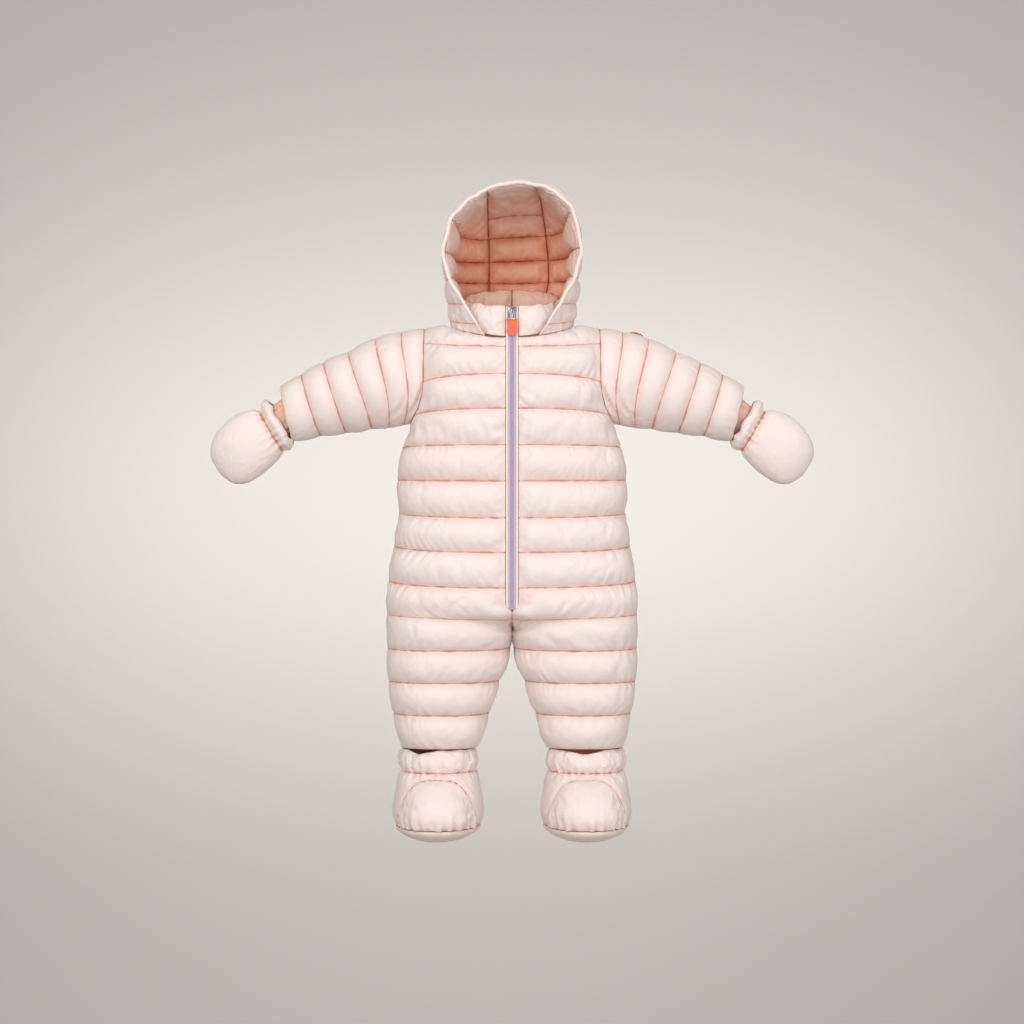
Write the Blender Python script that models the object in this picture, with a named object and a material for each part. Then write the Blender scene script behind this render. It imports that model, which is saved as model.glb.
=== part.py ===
"""Baby snowsuit: quilted one-piece with zip, hood, stand collar, mittens and booties.

The garment is filled out as when worn and stays hollow. It faces -Y, +Z is up and +X is the
wearer's left. The origin is between the shoulders, level with the shoulder seams.
Tables and lengths are in millimetres and are turned into metres when a mesh is made.
"""
import math
from collections import namedtuple

import bmesh
import bpy
from mathutils import Vector

MM = 0.001

# ---- driving dimensions, millimetres -----------------------------------------------------
WALL = 3.0               # padded wall where it is stitched down
THIN_WALL = 2.0          # plain cloth of the inner cuffs
SEAM_INSET = 0.22        # each piece stops this far from a shared seam line
CENTRE_INSET = 0.2       # pieces that meet in the middle plane stop this far from it
PUFF_RATIO = 0.21        # height of a quilted channel over its width
PUFF_MAX = 9.5
PUFF_POWER = 0.6         # rounded top, steep at the stitch lines
EDGE_TAPER = 15.0        # a channel flattens over this distance from a seam
ZIP_HALF = 7.9           # half the opening that coil and piping fill

NECK_X, NECK_FRONT, NECK_BACK = 76.0, 64.0, 58.0
NECK_Z_FRONT, NECK_Z_BACK = -14.0, 8.0
SHOULDER_X, SHOULDER_Z = 113.0, 1.3
ARM_CENTRE_Z, ARM_HALF_Z, ARM_HALF_Y = -60.0, 61.3, 50.0
ARM_X, ARM_UNDER_OUT = 112.5, 18.5
V_UNDERARM = 3.24        # row number of the underarm point
V_ZIP_END = 8.75         # row number where the zip ends
ZIP_END_TAPER = 0.25     # rows over which the opening narrows at its end
V_CROTCH = 9.57          # row number of the crotch point
LAST_ROW = 13

# One row for each quilt line, neck first. bow: how much higher the line is at the centre front
# than at the side. sweep: degrees of the oval that the row covers.
Line = namedtuple("Line", "z_side bow half_width front back side_y sweep")
LINES = [
    Line(0.0, -17.0, 113.0, 64.0, 58.0, 0.0, 60.0),
    Line(-20.0, -6.0, 112.0, 67.0, 66.0, 0.0, 60.0),
    Line(-70.0, 9.0, 112.5, 77.0, 76.0, 0.0, 62.0),
    Line(-111.5, 7.0, 127.0, 80.0, 82.0, 0.0, 76.0),
    Line(-153.0, 2.5, 140.0, 80.0, 82.0, -3.0, 90.0),
    Line(-193.6, -2.5, 146.5, 80.0, 80.0, -6.0, 90.0),
    Line(-235.5, -7.0, 145.0, 81.0, 80.0, -8.0, 90.0),
    Line(-278.0, -8.0, 151.0, 83.0, 84.0, -10.0, 90.0),
    Line(-322.3, -8.0, 158.0, 84.0, 89.0, -11.0, 90.0),
    Line(-365.4, -5.0, 160.0, 80.0, 88.0, -11.0, 90.0),
    Line(-409.0, -1.5, 159.5, 70.0, 78.0, -10.0, 90.0),
]

# One row for each quilt line of a leg, from line 9 to the hem.
Leg = namedtuple("Leg", "z bow outer inner front back inseam_y side_y")
LEG_FIRST = 9
LEGS = [
    Leg(-365.4, -5.0, 160.0, 0.2, 74.0, 80.0, 6.0, -11.0),
    Leg(-409.0, -1.5, 159.5, 2.2, 66.0, 72.0, 6.0, -10.0),
    Leg(-451.5, 0.0, 158.0, 16.5, 61.0, 65.0, 4.0, -8.0),
    Leg(-493.0, 0.0, 152.0, 30.5, 56.0, 58.0, 2.0, -5.0),
    Leg(-537.5, 1.0, 142.0, 44.5, 48.0, 48.0, 0.0, -2.0),
]

# One row for each ring of a sleeve after the armhole: its top and bottom point, its depth and
# how far its lower half draws in toward the underarm.
Ring = namedtuple("Ring", "top_x top_z bottom_x bottom_z half_y dip")
SLEEVE = [
    Ring(142.0, -3.5, 139.5, -123.0, 51.0, 14.0),
    Ring(175.5, -12.0, 158.5, -126.5, 49.5, 10.0),
    Ring(211.0, -29.0, 180.0, -128.0, 46.5, 3.0),
    Ring(242.5, -42.5, 213.5, -133.0, 42.5, 0.0),
    Ring(271.0, -58.0, 246.5, -137.0, 38.0, 0.0),
    Ring(296.5, -72.0, 280.0, -143.0, 34.0, 0.0),
]
# How much flatter the quilting is at the side seams, inside the legs, on top of a sleeve and
# under it, where the cloth is drawn tight.
FLAT_SIDE, FLAT_INSEAM, FLAT_SLEEVE_TOP, FLAT_SLEEVE_UNDER = 0.62, 0.6, 0.66, 0.5
SIDE_FROM, INSEAM_TO = 0.6, 0.32

COLUMNS = [0.0, 0.05, 0.16, 0.32, 0.47, 0.62, 0.8, 0.94, 1.0]
NECK_COLUMN = 0.62       # the column where the neck edge ends and the shoulder seam starts
STEPS = [0.0, 0.18, 0.5, 0.82]
SPECIAL_STEPS = {3: [0.0, 0.12, 0.24, 0.55, 0.84],
                 8: [0.0, 0.18, 0.5, 0.75, 0.88],
                 9: [0.0, 0.15, 0.3, 0.45, 0.57, 0.8]}
SLEEVE_STEPS = [0.0, 0.27, 0.73]

# Hood rows: from the top corner of the opening down to the neck. seam: edge of the centre
# panel. rim: the opening. side: the widest point between them. shift: how far the centre panel
# stands to the wearer's left.
Hood = namedtuple("Hood", "seam_x seam_y seam_z rim_x rim_y rim_z side_x side_y shift")
HOOD = [
    Hood(31.0, -46.0, 177.0, 52.0, -46.0, 167.0, 43.0, -46.0, -2.0),
    Hood(32.5, -5.0, 181.0, 60.0, -47.0, 161.0, 55.0, -25.0, 0.0),
    Hood(35.0, 42.0, 176.0, 66.5, -48.0, 154.0, 67.0, 2.0, 2.0),
    Hood(37.0, 76.0, 156.0, 72.0, -49.0, 148.0, 75.0, 14.0, 4.5),
    Hood(38.5, 94.0, 130.0, 76.5, -50.0, 141.0, 80.0, 22.0, 7.0),
    Hood(40.0, 103.0, 99.0, 86.0, -52.0, 97.0, 84.0, 24.0, 9.0),
    Hood(40.0, 99.0, 69.0, 78.0, -55.0, 62.0, 85.0, 22.0, 9.0),
    Hood(37.0, 83.0, 42.0, 60.0, -61.0, 28.0, 82.5, 14.0, 6.0),
    Hood(33.0, 64.0, 22.0, 44.0, -64.0, 2.0, 80.0, 5.0, 2.5),
]
HOOD_LINES_SIDE = [0, 4, 5, 6, 7, 8, 9]
HOOD_LINES_CENTRE = [0, 3, 4, 5, 6, 7, 8, 9]
HOOD_ROWS = [0.0, 0.5, 1.4, 2.4, 3.0, 3.5, 4.0, 4.3, 4.7, 5.0, 5.3, 5.7, 6.0, 6.3, 6.7,
             7.0, 7.5, 8.0, 8.5, 9.0]
HOOD_NECK_ROW = 9
HOOD_PUFF_RATIO, HOOD_PUFF_MAX, HOOD_INNER_SHARE = 0.13, 4.0, 1.4
HOOD_SEAM_SLOPE, HOOD_NECK_SLOPE, BODY_NECK_SLOPE = 0.35, 0.35, 0.45
HOOD_CROWN = 5.0         # how far the centre panel rises between its seams
HOOD_TILT = 0.11         # the top of the hood is higher on the wearer's left
HOOD_TOP_Z = 180.0
HOOD_LIFT = 0.45         # the hood stands this far above the neck edge
BINDING_OUT, BINDING_SIDE, BINDING_HALF_WIDTH, BINDING_HALF_DEPTH = 2.7, 1.5, 3.2, 2.1
BINDING_SIDES = 6

COLLAR_X, COLLAR_FRONT, COLLAR_BACK, COLLAR_POWER = 70.0, 62.5, 52.0, 1.75
COLLAR_TOP_X, COLLAR_TOP_FRONT, COLLAR_TOP_BACK = 62.0, 61.5, 48.0
COLLAR_TOP_Z_FRONT, COLLAR_TOP_Z_BACK = 26.0, 56.0
COLLAR_LIFT = 0.9        # the collar stands this far above the neck edge
COLLAR_PUFF, COLLAR_INNER_SHARE = 4.5, 0.6

# Cuffs and mittens lie in the plane of the sleeve. One row for each ring: centre, half height,
# half depth and how far its upper point leans outward, in degrees.
Tube = namedtuple("Tube", "x z half_z half_y lean")
INNER_CUFF = [
    Tube(262.0, -98.5, 28.0, 31.0, 17.0),
    Tube(276.0, -103.0, 22.0, 23.0, 19.0),
    Tube(293.0, -109.5, 18.5, 20.0, 24.0),
    Tube(308.0, -121.0, 15.5, 17.0, 30.0),
]
MITTEN_X, MITTEN_Z, MITTEN_LEAN = 310.7, -131.0, 30.5
# One row for each ring of a mitten: distance from the elastic, extent above and below, depth.
Pouch = namedtuple("Pouch", "along up down half_y wall")
MITTEN = [
    Pouch(-15.0, 36.0, 28.0, 26.5, 3.0),
    Pouch(-12.0, 39.5, 31.5, 29.5, 5.5),
    Pouch(-6.5, 38.5, 33.0, 29.0, 5.5),
    Pouch(-1.5, 31.0, 29.5, 23.0, 4.0),
    Pouch(0.0, 29.5, 29.0, 21.0, 3.5),
    Pouch(2.5, 33.5, 32.0, 23.0, 4.0),
    Pouch(9.0, 38.0, 36.0, 26.0, 5.0),
    Pouch(27.0, 42.0, 41.0, 28.0, 5.0),
    Pouch(48.0, 39.5, 43.5, 27.0, 5.0),
    Pouch(64.0, 33.5, 41.5, 22.5, 5.0),
    Pouch(76.0, 25.0, 34.0, 16.0, 5.0),
    Pouch(83.0, 15.0, 21.0, 9.0, 4.5),
]
MITTEN_TIP = 85.5
TIP_WALL = 7.0
TIP_BACK_START, TIP_BACK_SHARE = 27.0, 0.35
TUBE_COLUMNS = 14

BOOT_X = 95.0
# One row for each level of a bootie, top of the cuff first: half width, reach of toe and heel.
Boot = namedtuple("Boot", "z half_x toe heel wall")
BOOT = [
    Boot(-541.5, 46.0, 46.5, 46.0, 3.0),
    Boot(-547.0, 50.5, 51.0, 50.5, 5.0),
    Boot(-557.0, 52.5, 53.0, 52.5, 6.0),
    Boot(-564.5, 49.0, 49.5, 49.0, 5.0),
    Boot(-567.5, 46.0, 46.5, 46.0, 4.0),
    Boot(-571.0, 49.0, 51.5, 48.5, 4.0),
    Boot(-579.0, 51.5, 62.0, 50.0, 4.5),
    Boot(-591.0, 53.5, 76.0, 50.5, 4.5),
    Boot(-605.0, 56.0, 88.0, 51.0, 4.5),
    Boot(-620.0, 57.5, 94.0, 51.5, 4.5),
    Boot(-635.0, 55.0, 92.0, 50.5, 4.5),
]
BOOT_POWER = 0.9
TOE_CAP_ANGLE = 64.0
BOOT_ANGLES = [0, 16, 32, 48, 64, 82, 100, 125, 152, 180, -152, -125, -100, -82, -64, -48, -32,
               -16]
TOE_SEAM_TOP, TOE_SEAM_END, TOE_SEAM_BEND = 5.55, 9.85, 2.6
TOE_SEAM_GAP = 0.03
TOE_STEPS = (0.0, 0.2, 0.4, 0.6, 0.8, 1.0)
# One row for each level of a sole: height and how far it stands in from the bootie's outline.
Sole = namedtuple("Sole", "z inset")
SOLE = [
    Sole(-635.6, 0.4),
    Sole(-641.5, 2.0),
    Sole(-648.0, 13.0),
    Sole(-652.0, 26.0),
]

ZIP_TOP_Z, ZIP_LAST_ROW = 24.5, 8.45
COIL_SECTION = [(-4.6, -1.6), (4.6, -1.6), (4.6, 0.2), (2.9, 0.4), (2.2, 1.6), (-2.2, 1.6),
                (-2.9, 0.4), (-4.6, 0.2)]
PIPING_X = 6.25
PIPING_SECTION = [(-1.3, -1.6), (1.3, -1.6), (1.3, 0.5), (0.8, 1.5), (0.0, 1.8), (-0.8, 1.5),
                  (-1.3, 0.5)]
SLIDER_Z, SLIDER_WIDTH, SLIDER_HEIGHT, SLIDER_FRONT, SLIDER_THICK = 15.5, 11.6, 16.5, 1.95, 1.9
BRIDGE_HALF, BRIDGE_BAR, BRIDGE_DROP, BRIDGE_RISE = 1.2, 1.3, 11.0, 2.4
LINK_WIRE, LINK_HALF_WIDTH, LINK_LENGTH = 1.4, 3.9, 12.0
TAB_WIDTH, TAB_WAIST, TAB_LENGTH, TAB_THICK = 14.2, 12.4, 21.0, 2.4
TAB_NOTCH_DEPTH, TAB_NOTCH_GAP, TAB_TOP_DROP = 2.1, 0.35, 9.5
BADGE_ROW, BADGE_ANGLE, BADGE_RADIUS, BADGE_THICK, BADGE_LIFT = 1.55, -24.0, 10.5, 1.6, 1.4

PINK = (0.86, 0.66, 0.58)
PINK_INSIDE = (0.80, 0.50, 0.38)
LILAC = (0.60, 0.50, 0.66)
ORANGE = (0.93, 0.14, 0.05)
METAL = (0.62, 0.62, 0.62)


# ---- scene and mesh helpers --------------------------------------------------------------
def clear_scene():
    for old in list(bpy.data.objects):
        bpy.data.objects.remove(old, do_unlink=True)


def material(name, colour, roughness=0.75, metallic=0.0):
    made = bpy.data.materials.get(name) or bpy.data.materials.new(name)
    made.use_nodes = True
    shader = made.node_tree.nodes["Principled BSDF"]
    shader.inputs["Base Color"].default_value = (*colour, 1.0)
    shader.inputs["Roughness"].default_value = roughness
    shader.inputs["Metallic"].default_value = metallic
    return made


def add_object(name, verts, faces, colour, roughness=0.75, metallic=0.0, sharp=40.0, origin=None):
    """Make one object from points in millimetres, with its faces turned outward."""
    centre = Vector(origin) if origin else Vector((0.0, 0.0, 0.0))
    mesh = bpy.data.meshes.new(name)
    mesh.from_pydata([(Vector(v) - centre) * MM for v in verts], [], faces)
    work = bmesh.new()
    work.from_mesh(mesh)
    bmesh.ops.recalc_face_normals(work, faces=work.faces)
    if work.calc_volume(signed=True) < 0.0:
        bmesh.ops.reverse_faces(work, faces=work.faces)
    work.to_mesh(mesh)
    work.free()
    mesh.shade_smooth()
    mesh.set_sharp_from_angle(angle=math.radians(sharp))
    made = bpy.data.objects.new(name, mesh)
    made.location = centre * MM
    bpy.context.collection.objects.link(made)
    mesh.materials.append(material(name + "_cloth", colour, roughness, metallic))
    return made


def mirrored(verts):
    return [Vector((-v.x, v.y, v.z)) for v in verts]


def both_sides(name, verts, faces, colour):
    """The wearer's left piece as modelled, and its mirror image on the right."""
    add_object(name + "_left", verts, faces, colour)
    add_object(name + "_right", mirrored(verts), faces, colour)


def smooth_value(values, at):
    """Catmull-Rom value of a table column at a fractional row number."""
    last = len(values) - 1
    at = min(max(at, 0.0), float(last))
    i = min(int(at), last - 1)
    t = at - i
    p1, p2 = values[i], values[i + 1]
    p0 = values[i - 1] if i > 0 else p1 * 2 - p2
    p3 = values[i + 2] if i + 2 <= last else p2 * 2 - p1
    a = p1 * 2.0
    b = (p2 - p0) * t
    c = (p0 * 2.0 - p1 * 5.0 + p2 * 4.0 - p3) * (t * t)
    d = (p1 * 3.0 - p0 - p2 * 3.0 + p3) * (t * t * t)
    return (a + b + c + d) * 0.5


def table_value(table, column, at):
    return smooth_value([getattr(row, column) for row in table], at)


def ease(t):
    t = min(max(t, 0.0), 1.0)
    return t * t * (3.0 - 2.0 * t)


def signed_power(value, power):
    return math.copysign(abs(value) ** power, value)


def lerp(a, b, t):
    return a + (b - a) * t


def normal_key(p):
    return (round(p.x, 2), round(p.y, 2), round(p.z, 2))


def gather_normals(store, grid, outward, closed=False):
    """Add each cell's area normal to its corner points, so pieces share them at seams."""
    width = len(grid[0])
    for r in range(len(grid) - 1):
        for c in range(width if closed else width - 1):
            d = (c + 1) % width
            corners = (grid[r][c], grid[r][d], grid[r + 1][d], grid[r + 1][c])
            area = (corners[2] - corners[0]).cross(corners[3] - corners[1]) * outward
            for p in corners:
                key = normal_key(p)
                store[key] = store.get(key, Vector((0.0, 0.0, 0.0))) + area


def relax_ring_normals(store, ring, passes=2):
    """Even out the normals round a sharply bent seam, the same for all its pieces."""
    keys = [normal_key(p) for p in ring]
    for _ in range(passes):
        old = [store[key].normalized() for key in keys]
        for i, key in enumerate(keys):
            store[key] = old[i - 1] + old[i] * 2.0 + old[(i + 1) % len(keys)]


def relax_rows(normals, passes=3):
    """Even out each row's normals between its two ends."""
    for _ in range(passes):
        normals = [[row[c] if c in (0, len(row) - 1)
                    else (row[c - 1] + row[c] * 2.0 + row[c + 1]).normalized()
                    for c in range(len(row))] for row in normals]
    return normals


def grid_normals(store, grid, middle=False):
    """Unit normals of a grid's points. Points in the middle plane get none across it."""
    normals = []
    for row in grid:
        line = []
        for p in row:
            n = store[normal_key(p)].copy()
            if middle and abs(p.x) < 2 * CENTRE_INSET:
                n.x = 0.0
            line.append(n.normalized())
        normals.append(line)
    return normals


def border_shift(border, beside, normals, closed=False):
    """Unit steps from a border line into its piece, square to the line, mitred at corners."""
    count = len(border)
    steps = []
    for i in range(count if closed else count - 1):
        j = (i + 1) % count
        across = (border[j] - border[i]).cross(normals[i] + normals[j])
        steps.append(across.normalized() if across.length > 1e-9 else Vector((0.0, 0.0, 0.0)))
    if sum(s.dot(beside[i] - border[i]) for i, s in enumerate(steps)) < 0.0:
        steps = [-s for s in steps]
    shifts = []
    for i in range(count):
        before = steps[i - 1] if (i > 0 or closed) else steps[0]
        after = steps[i] if i < len(steps) else steps[-1]
        shifts.append((before + after) / max(0.35, 1.0 + before.dot(after)))
    return shifts


def inset_edges(grid, normals, sides, closed=False):
    """Move the named borders of a grid inwards, so that its piece stops short of the seam."""
    last = len(grid) - 1
    moved = [[p.copy() for p in row] for row in grid]
    for c, beside, side in ((0, 1, "first_col"), (-1, -2, "last_col")):
        if side in sides:
            shifts = border_shift([row[c] for row in grid], [row[beside] for row in grid],
                                  [row[c] for row in normals])
            for r, shift in enumerate(shifts):
                moved[r][c] += shift * SEAM_INSET
    for r, beside, side in ((0, 1, "first_row"), (last, last - 1, "last_row")):
        if side in sides:
            shifts = border_shift(grid[r], grid[beside], normals[r], closed)
            for c, shift in enumerate(shifts):
                moved[r][c] += shift * SEAM_INSET
    return moved


def side_strip(faces, outer_id, inner_id, plain, column):
    """Close one long edge between all outer rows and the fewer inner rows."""
    for k in range(len(plain) - 1):
        low, high = plain[k], plain[k + 1]
        middle = (low + high + 1) // 2
        for r in range(low, middle):
            faces.append((outer_id(r, column), outer_id(r + 1, column), inner_id(k, column)))
        faces.append((outer_id(middle, column), inner_id(k + 1, column), inner_id(k, column)))
        for r in range(middle, high):
            faces.append((outer_id(r, column), outer_id(r + 1, column), inner_id(k + 1, column)))


def wall(outer, inner, plain, closed=False, tip=False):
    """Closed wall between an outer grid and an inner grid that has only the plain rows.

    closed joins the last column to the first. tip closes the far end with a pole, and then
    the last row of each grid holds that one point.
    """
    width = len(outer[0])
    rows = len(outer) - (1 if tip else 0)
    inner_rows = len(inner) - (1 if tip else 0)
    verts = [p for row in outer[:rows] for p in row]
    inner_start = len(verts)
    verts += [p for row in inner[:inner_rows] for p in row]
    faces = []

    def outer_id(r, c):
        return r * width + c % width

    def inner_id(k, c):
        return inner_start + k * width + c % width

    cells = width if closed else width - 1
    for c in range(cells):
        for r in range(rows - 1):
            faces.append((outer_id(r, c), outer_id(r, c + 1), outer_id(r + 1, c + 1),
                          outer_id(r + 1, c)))
        for k in range(inner_rows - 1):
            faces.append((inner_id(k, c), inner_id(k + 1, c), inner_id(k + 1, c + 1),
                          inner_id(k, c + 1)))
        faces.append((outer_id(0, c), inner_id(0, c), inner_id(0, c + 1), outer_id(0, c + 1)))
        if not tip:
            r, k = rows - 1, inner_rows - 1
            faces.append((outer_id(r, c), outer_id(r, c + 1), inner_id(k, c + 1),
                          inner_id(k, c)))
    if tip:
        verts += [outer[rows][0], inner[inner_rows][0]]
        for c in range(cells):
            faces.append((outer_id(rows - 1, c), outer_id(rows - 1, c + 1), len(verts) - 2))
            faces.append((inner_id(inner_rows - 1, c), len(verts) - 1,
                          inner_id(inner_rows - 1, c + 1)))
    if not closed:
        side_strip(faces, outer_id, inner_id, plain, 0)
        side_strip(faces, outer_id, inner_id, plain, width - 1)
    return verts, faces


def channel_puff(t):
    return math.sin(math.pi * t) ** PUFF_POWER if 0.0 < t < 1.0 else 0.0


# ---- torso and legs ----------------------------------------------------------------------
def arm_angle(v):
    """Angle round the armhole, 0 at the shoulder and pi under the arm, at a row number."""
    stops = [0.0] + [math.acos((LINES[k].z_side - ARM_CENTRE_Z) / ARM_HALF_Z) for k in (1, 2, 3)]
    if v <= 3.0:
        k = min(int(v), 2)
        return lerp(stops[k], stops[k + 1], v - k)
    return lerp(stops[3], math.pi, min((v - 3.0) / (V_UNDERARM - 3.0), 1.0))


def arm_point(angle, side):
    z = ARM_CENTRE_Z + ARM_HALF_Z * math.cos(angle)
    below = max(0.0, (ARM_CENTRE_Z - z) / ARM_HALF_Z)
    return Vector((ARM_X + ARM_UNDER_OUT * below ** 2.5, side * ARM_HALF_Y * math.sin(angle), z))


def neck_point(angle, side, start_x):
    """Point of the neck edge: angle 0 in the middle, 90 degrees at the side."""
    depth = NECK_FRONT if side < 0 else NECK_BACK
    middle_z = NECK_Z_FRONT if side < 0 else NECK_Z_BACK
    return Vector((start_x + (NECK_X - start_x) * math.sin(angle), side * depth * math.cos(angle),
                   middle_z * math.cos(angle) ** 2))


def neck_row(u, side, start_x):
    """Neck edge from the middle to the side of the neck, then the shoulder seam."""
    if u <= NECK_COLUMN:
        return neck_point(0.5 * math.pi * u / NECK_COLUMN, side, start_x)
    t = (u - NECK_COLUMN) / (1.0 - NECK_COLUMN)
    return Vector((lerp(NECK_X, SHOULDER_X, t), 0.0, lerp(0.0, SHOULDER_Z, t)))


def torso_row(u, v, side, start_x):
    """Oval row from the middle (u = 0) to the armhole or side seam (u = 1)."""
    if v < V_UNDERARM:
        end = arm_point(arm_angle(v), side)
    else:
        end = Vector((table_value(LINES, "half_width", v), table_value(LINES, "side_y", v),
                      table_value(LINES, "z_side", v)))
        low_share = ease((v - V_UNDERARM) / (4.0 - V_UNDERARM))
        under = arm_point(math.pi, side)
        if v < 4.0:
            end.x = lerp(under.x, end.x, low_share)
            end.y = lerp(0.0, end.y, low_share)
            end.z = lerp(under.z, LINES[4].z_side, (v - V_UNDERARM) / (4.0 - V_UNDERARM))
    depth = table_value(LINES, "front" if side < 0 else "back", v)
    sweep = math.radians(min(table_value(LINES, "sweep", v), 90.0))
    angle = u * sweep
    across = (math.sin(angle) / math.sin(sweep)) ** 0.94
    along = max(0.0, (math.cos(angle) - math.cos(sweep)) / (1.0 - math.cos(sweep))) ** 0.92
    bow = table_value(LINES, "bow", v) * (1.0 if side < 0 else 0.35)
    return Vector((start_x + (end.x - start_x) * across, end.y + (side * depth - end.y) * along,
                   end.z + bow * along))


def leg_row(u, v, side):
    """Half ring of the leg from the inseam (u = 0) to the side seam (u = 1)."""
    at = v - LEG_FIRST
    outer = table_value(LEGS, "outer", at)
    inner = max(CENTRE_INSET, table_value(LEGS, "inner", at))
    depth = table_value(LEGS, "front" if side < 0 else "back", at)
    angle = math.pi * (u - 0.5)
    forward = max(0.0, math.cos(angle)) ** 0.92
    middle_y = lerp(table_value(LEGS, "inseam_y", at), table_value(LEGS, "side_y", at), u)
    x = 0.5 * (outer + inner) + 0.5 * (outer - inner) * signed_power(math.sin(angle), 0.96)
    return Vector((x, middle_y + side * depth * forward,
                   table_value(LEGS, "z", at) + table_value(LEGS, "bow", at) * forward))


def body_point(u, v, side):
    """Stitched surface of one quarter of the body at column u and row v."""
    below_zip = ease((v - V_ZIP_END + ZIP_END_TAPER) / ZIP_END_TAPER)
    start_x = lerp(ZIP_HALF, CENTRE_INSET, below_zip) if side < 0 else CENTRE_INSET
    if v < 1.0:
        top, low = neck_row(u, side, start_x), torso_row(u, 1.0, side, start_x)
        rounding = min(1.0, u / NECK_COLUMN)
        forward, down = v ** (1.0 - 0.15 * rounding), v ** (1.0 + 0.5 * rounding)
        p = Vector((lerp(top.x, low.x, v), lerp(top.y, low.y, forward),
                    lerp(top.z, low.z, down)))
        edge_top, edge_low = neck_row(1.0, side, start_x), torso_row(1.0, 1.0, side, start_x)
        edge = Vector((lerp(edge_top.x, edge_low.x, v), lerp(edge_top.y, edge_low.y, forward),
                       lerp(edge_top.z, edge_low.z, down)))
        return p + (arm_point(arm_angle(v), side) - edge) * u ** 3
    if v <= V_ZIP_END:
        return torso_row(u, v, side, start_x)
    if v >= V_CROTCH:
        return leg_row(u, v, side)
    share = ease((v - V_ZIP_END) / (V_CROTCH - V_ZIP_END))
    torso = torso_row(u, v, side, start_x)
    leg = leg_row(u, max(v, LEG_FIRST), side)
    leg.z = torso.z
    p = torso.lerp(leg, share)
    if u == 0.0:
        p.x = CENTRE_INSET
    return p


def body_rows():
    rows = []
    for channel in range(LAST_ROW):
        rows += [channel + t for t in SPECIAL_STEPS.get(channel, STEPS)]
    return rows + [float(LAST_ROW)]


def plain_rows(rows, everywhere=()):
    """Row numbers that the plain inside keeps: quilt lines, and all rows of some channels."""
    return [i for i, v in enumerate(rows)
            if abs(v - round(v)) < 1e-6 or int(v) in everywhere]


def arm_ring(rows):
    front = [arm_point(arm_angle(v), -1) for v in rows if v <= V_UNDERARM + 1e-6]
    back = [arm_point(arm_angle(v), 1) for v in rows if v <= V_UNDERARM + 1e-6]
    return front + back[-2:0:-1]


def body_fullness(u, v):
    """Share of the full height that the padding has at a column and row of the body."""
    side = 1.0 - FLAT_SIDE * ease((u - SIDE_FROM) / (1.0 - SIDE_FROM))
    in_leg = ease((v - LEG_FIRST) / (V_CROTCH - LEG_FIRST))
    return side * (1.0 - FLAT_INSEAM * in_leg * ease((INSEAM_TO - u) / INSEAM_TO))


def quilt(grid, normals, rows, lines, ratio, most, taper_columns=True, near=(), fullness=None):
    """Raise each channel of a grid between its quilt lines. Returns the raised points."""
    width = len(grid[0])
    raised = []
    where = {v: i for i, v in enumerate(rows)}
    for r, v in enumerate(rows):
        low = max(k for k in lines if k <= v + 1e-6)
        high = min((k for k in lines if k > v + 1e-6), default=low)
        line = []
        for c in range(width):
            p, n = grid[r][c], normals[r][c]
            height = 0.0
            if high > low:
                span = (grid[where[float(high)]][c] - grid[where[float(low)]][c]).length
                height = min(most, ratio * span) * channel_puff((v - low) / (high - low))
            if taper_columns:
                edge = min((p - grid[r][0]).length, (p - grid[r][-1]).length)
                height *= min(1.0, edge / EDGE_TAPER) ** 0.7
            if fullness:
                height *= fullness(c, v)
            for seam_point, slope in near:
                height = min(height, slope * (p - seam_point).length)
            line.append(p + n * height)
        raised.append(line)
    return raised


def inner_grid(grid, normals, plain, thickness):
    return [[grid[r][c] - normals[r][c] * thickness for c in range(len(grid[0]))] for r in plain]


def build_body_and_sleeves():
    rows = body_rows()
    plain = plain_rows(rows, everywhere=(0, 1, 2, 3, 8, 9))
    front = [[body_point(u, v, -1) for u in COLUMNS] for v in rows]
    back = [[body_point(u, v, 1) for u in COLUMNS] for v in rows]
    ring_rows = [v for v in rows if v <= V_UNDERARM + 1e-6]
    angles = [arm_angle(v) for v in ring_rows]
    angles += [2.0 * math.pi - a for a in angles[-2:0:-1]]
    sleeve_rows = [k + t for k in range(len(SLEEVE)) for t in SLEEVE_STEPS] + [float(len(SLEEVE))]
    sleeve = [[sleeve_point(v, a) for a in angles] for v in sleeve_rows]

    store = {}
    gather_normals(store, front, -1.0)
    gather_normals(store, back, 1.0)
    gather_normals(store, sleeve, 1.0, closed=True)

    relax_ring_normals(store, arm_ring(rows))

    near = armhole_slopes(rows)
    near += [(neck_row(u, side, ZIP_HALF if side < 0 else CENTRE_INSET), BODY_NECK_SLOPE)
             for side in (-1, 1) for u in COLUMNS if u <= NECK_COLUMN]
    for name, grid in (("front", front), ("back", back)):
        normals = grid_normals(store, grid, middle=True)
        base = inset_edges(grid, normals, ("first_row", "last_col"))
        set_inseam_gap(base, rows)
        raised = quilt(base, normals, rows, range(LAST_ROW + 1), PUFF_RATIO, PUFF_MAX, near=near,
                       fullness=lambda c, v: body_fullness(COLUMNS[c], v))
        for line in raised:
            for p in line:
                p.x = max(p.x, CENTRE_INSET)
        verts, faces = wall(raised, inner_grid(base, normals, plain, WALL), plain)
        both_sides(name, verts, faces, PINK)

    normals = grid_normals(store, sleeve)
    base = inset_edges(sleeve, normals, ("first_row",), closed=True)
    raised = quilt(base, normals, sleeve_rows, range(len(SLEEVE) + 1), PUFF_RATIO, PUFF_MAX,
                   taper_columns=False, near=near,
                   fullness=lambda c, v: sleeve_fullness(angles[c]))
    plain = plain_rows(sleeve_rows)
    verts, faces = wall(raised, inner_grid(base, normals, plain, WALL), plain, closed=True)
    both_sides("sleeve", verts, faces, PINK)


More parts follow.
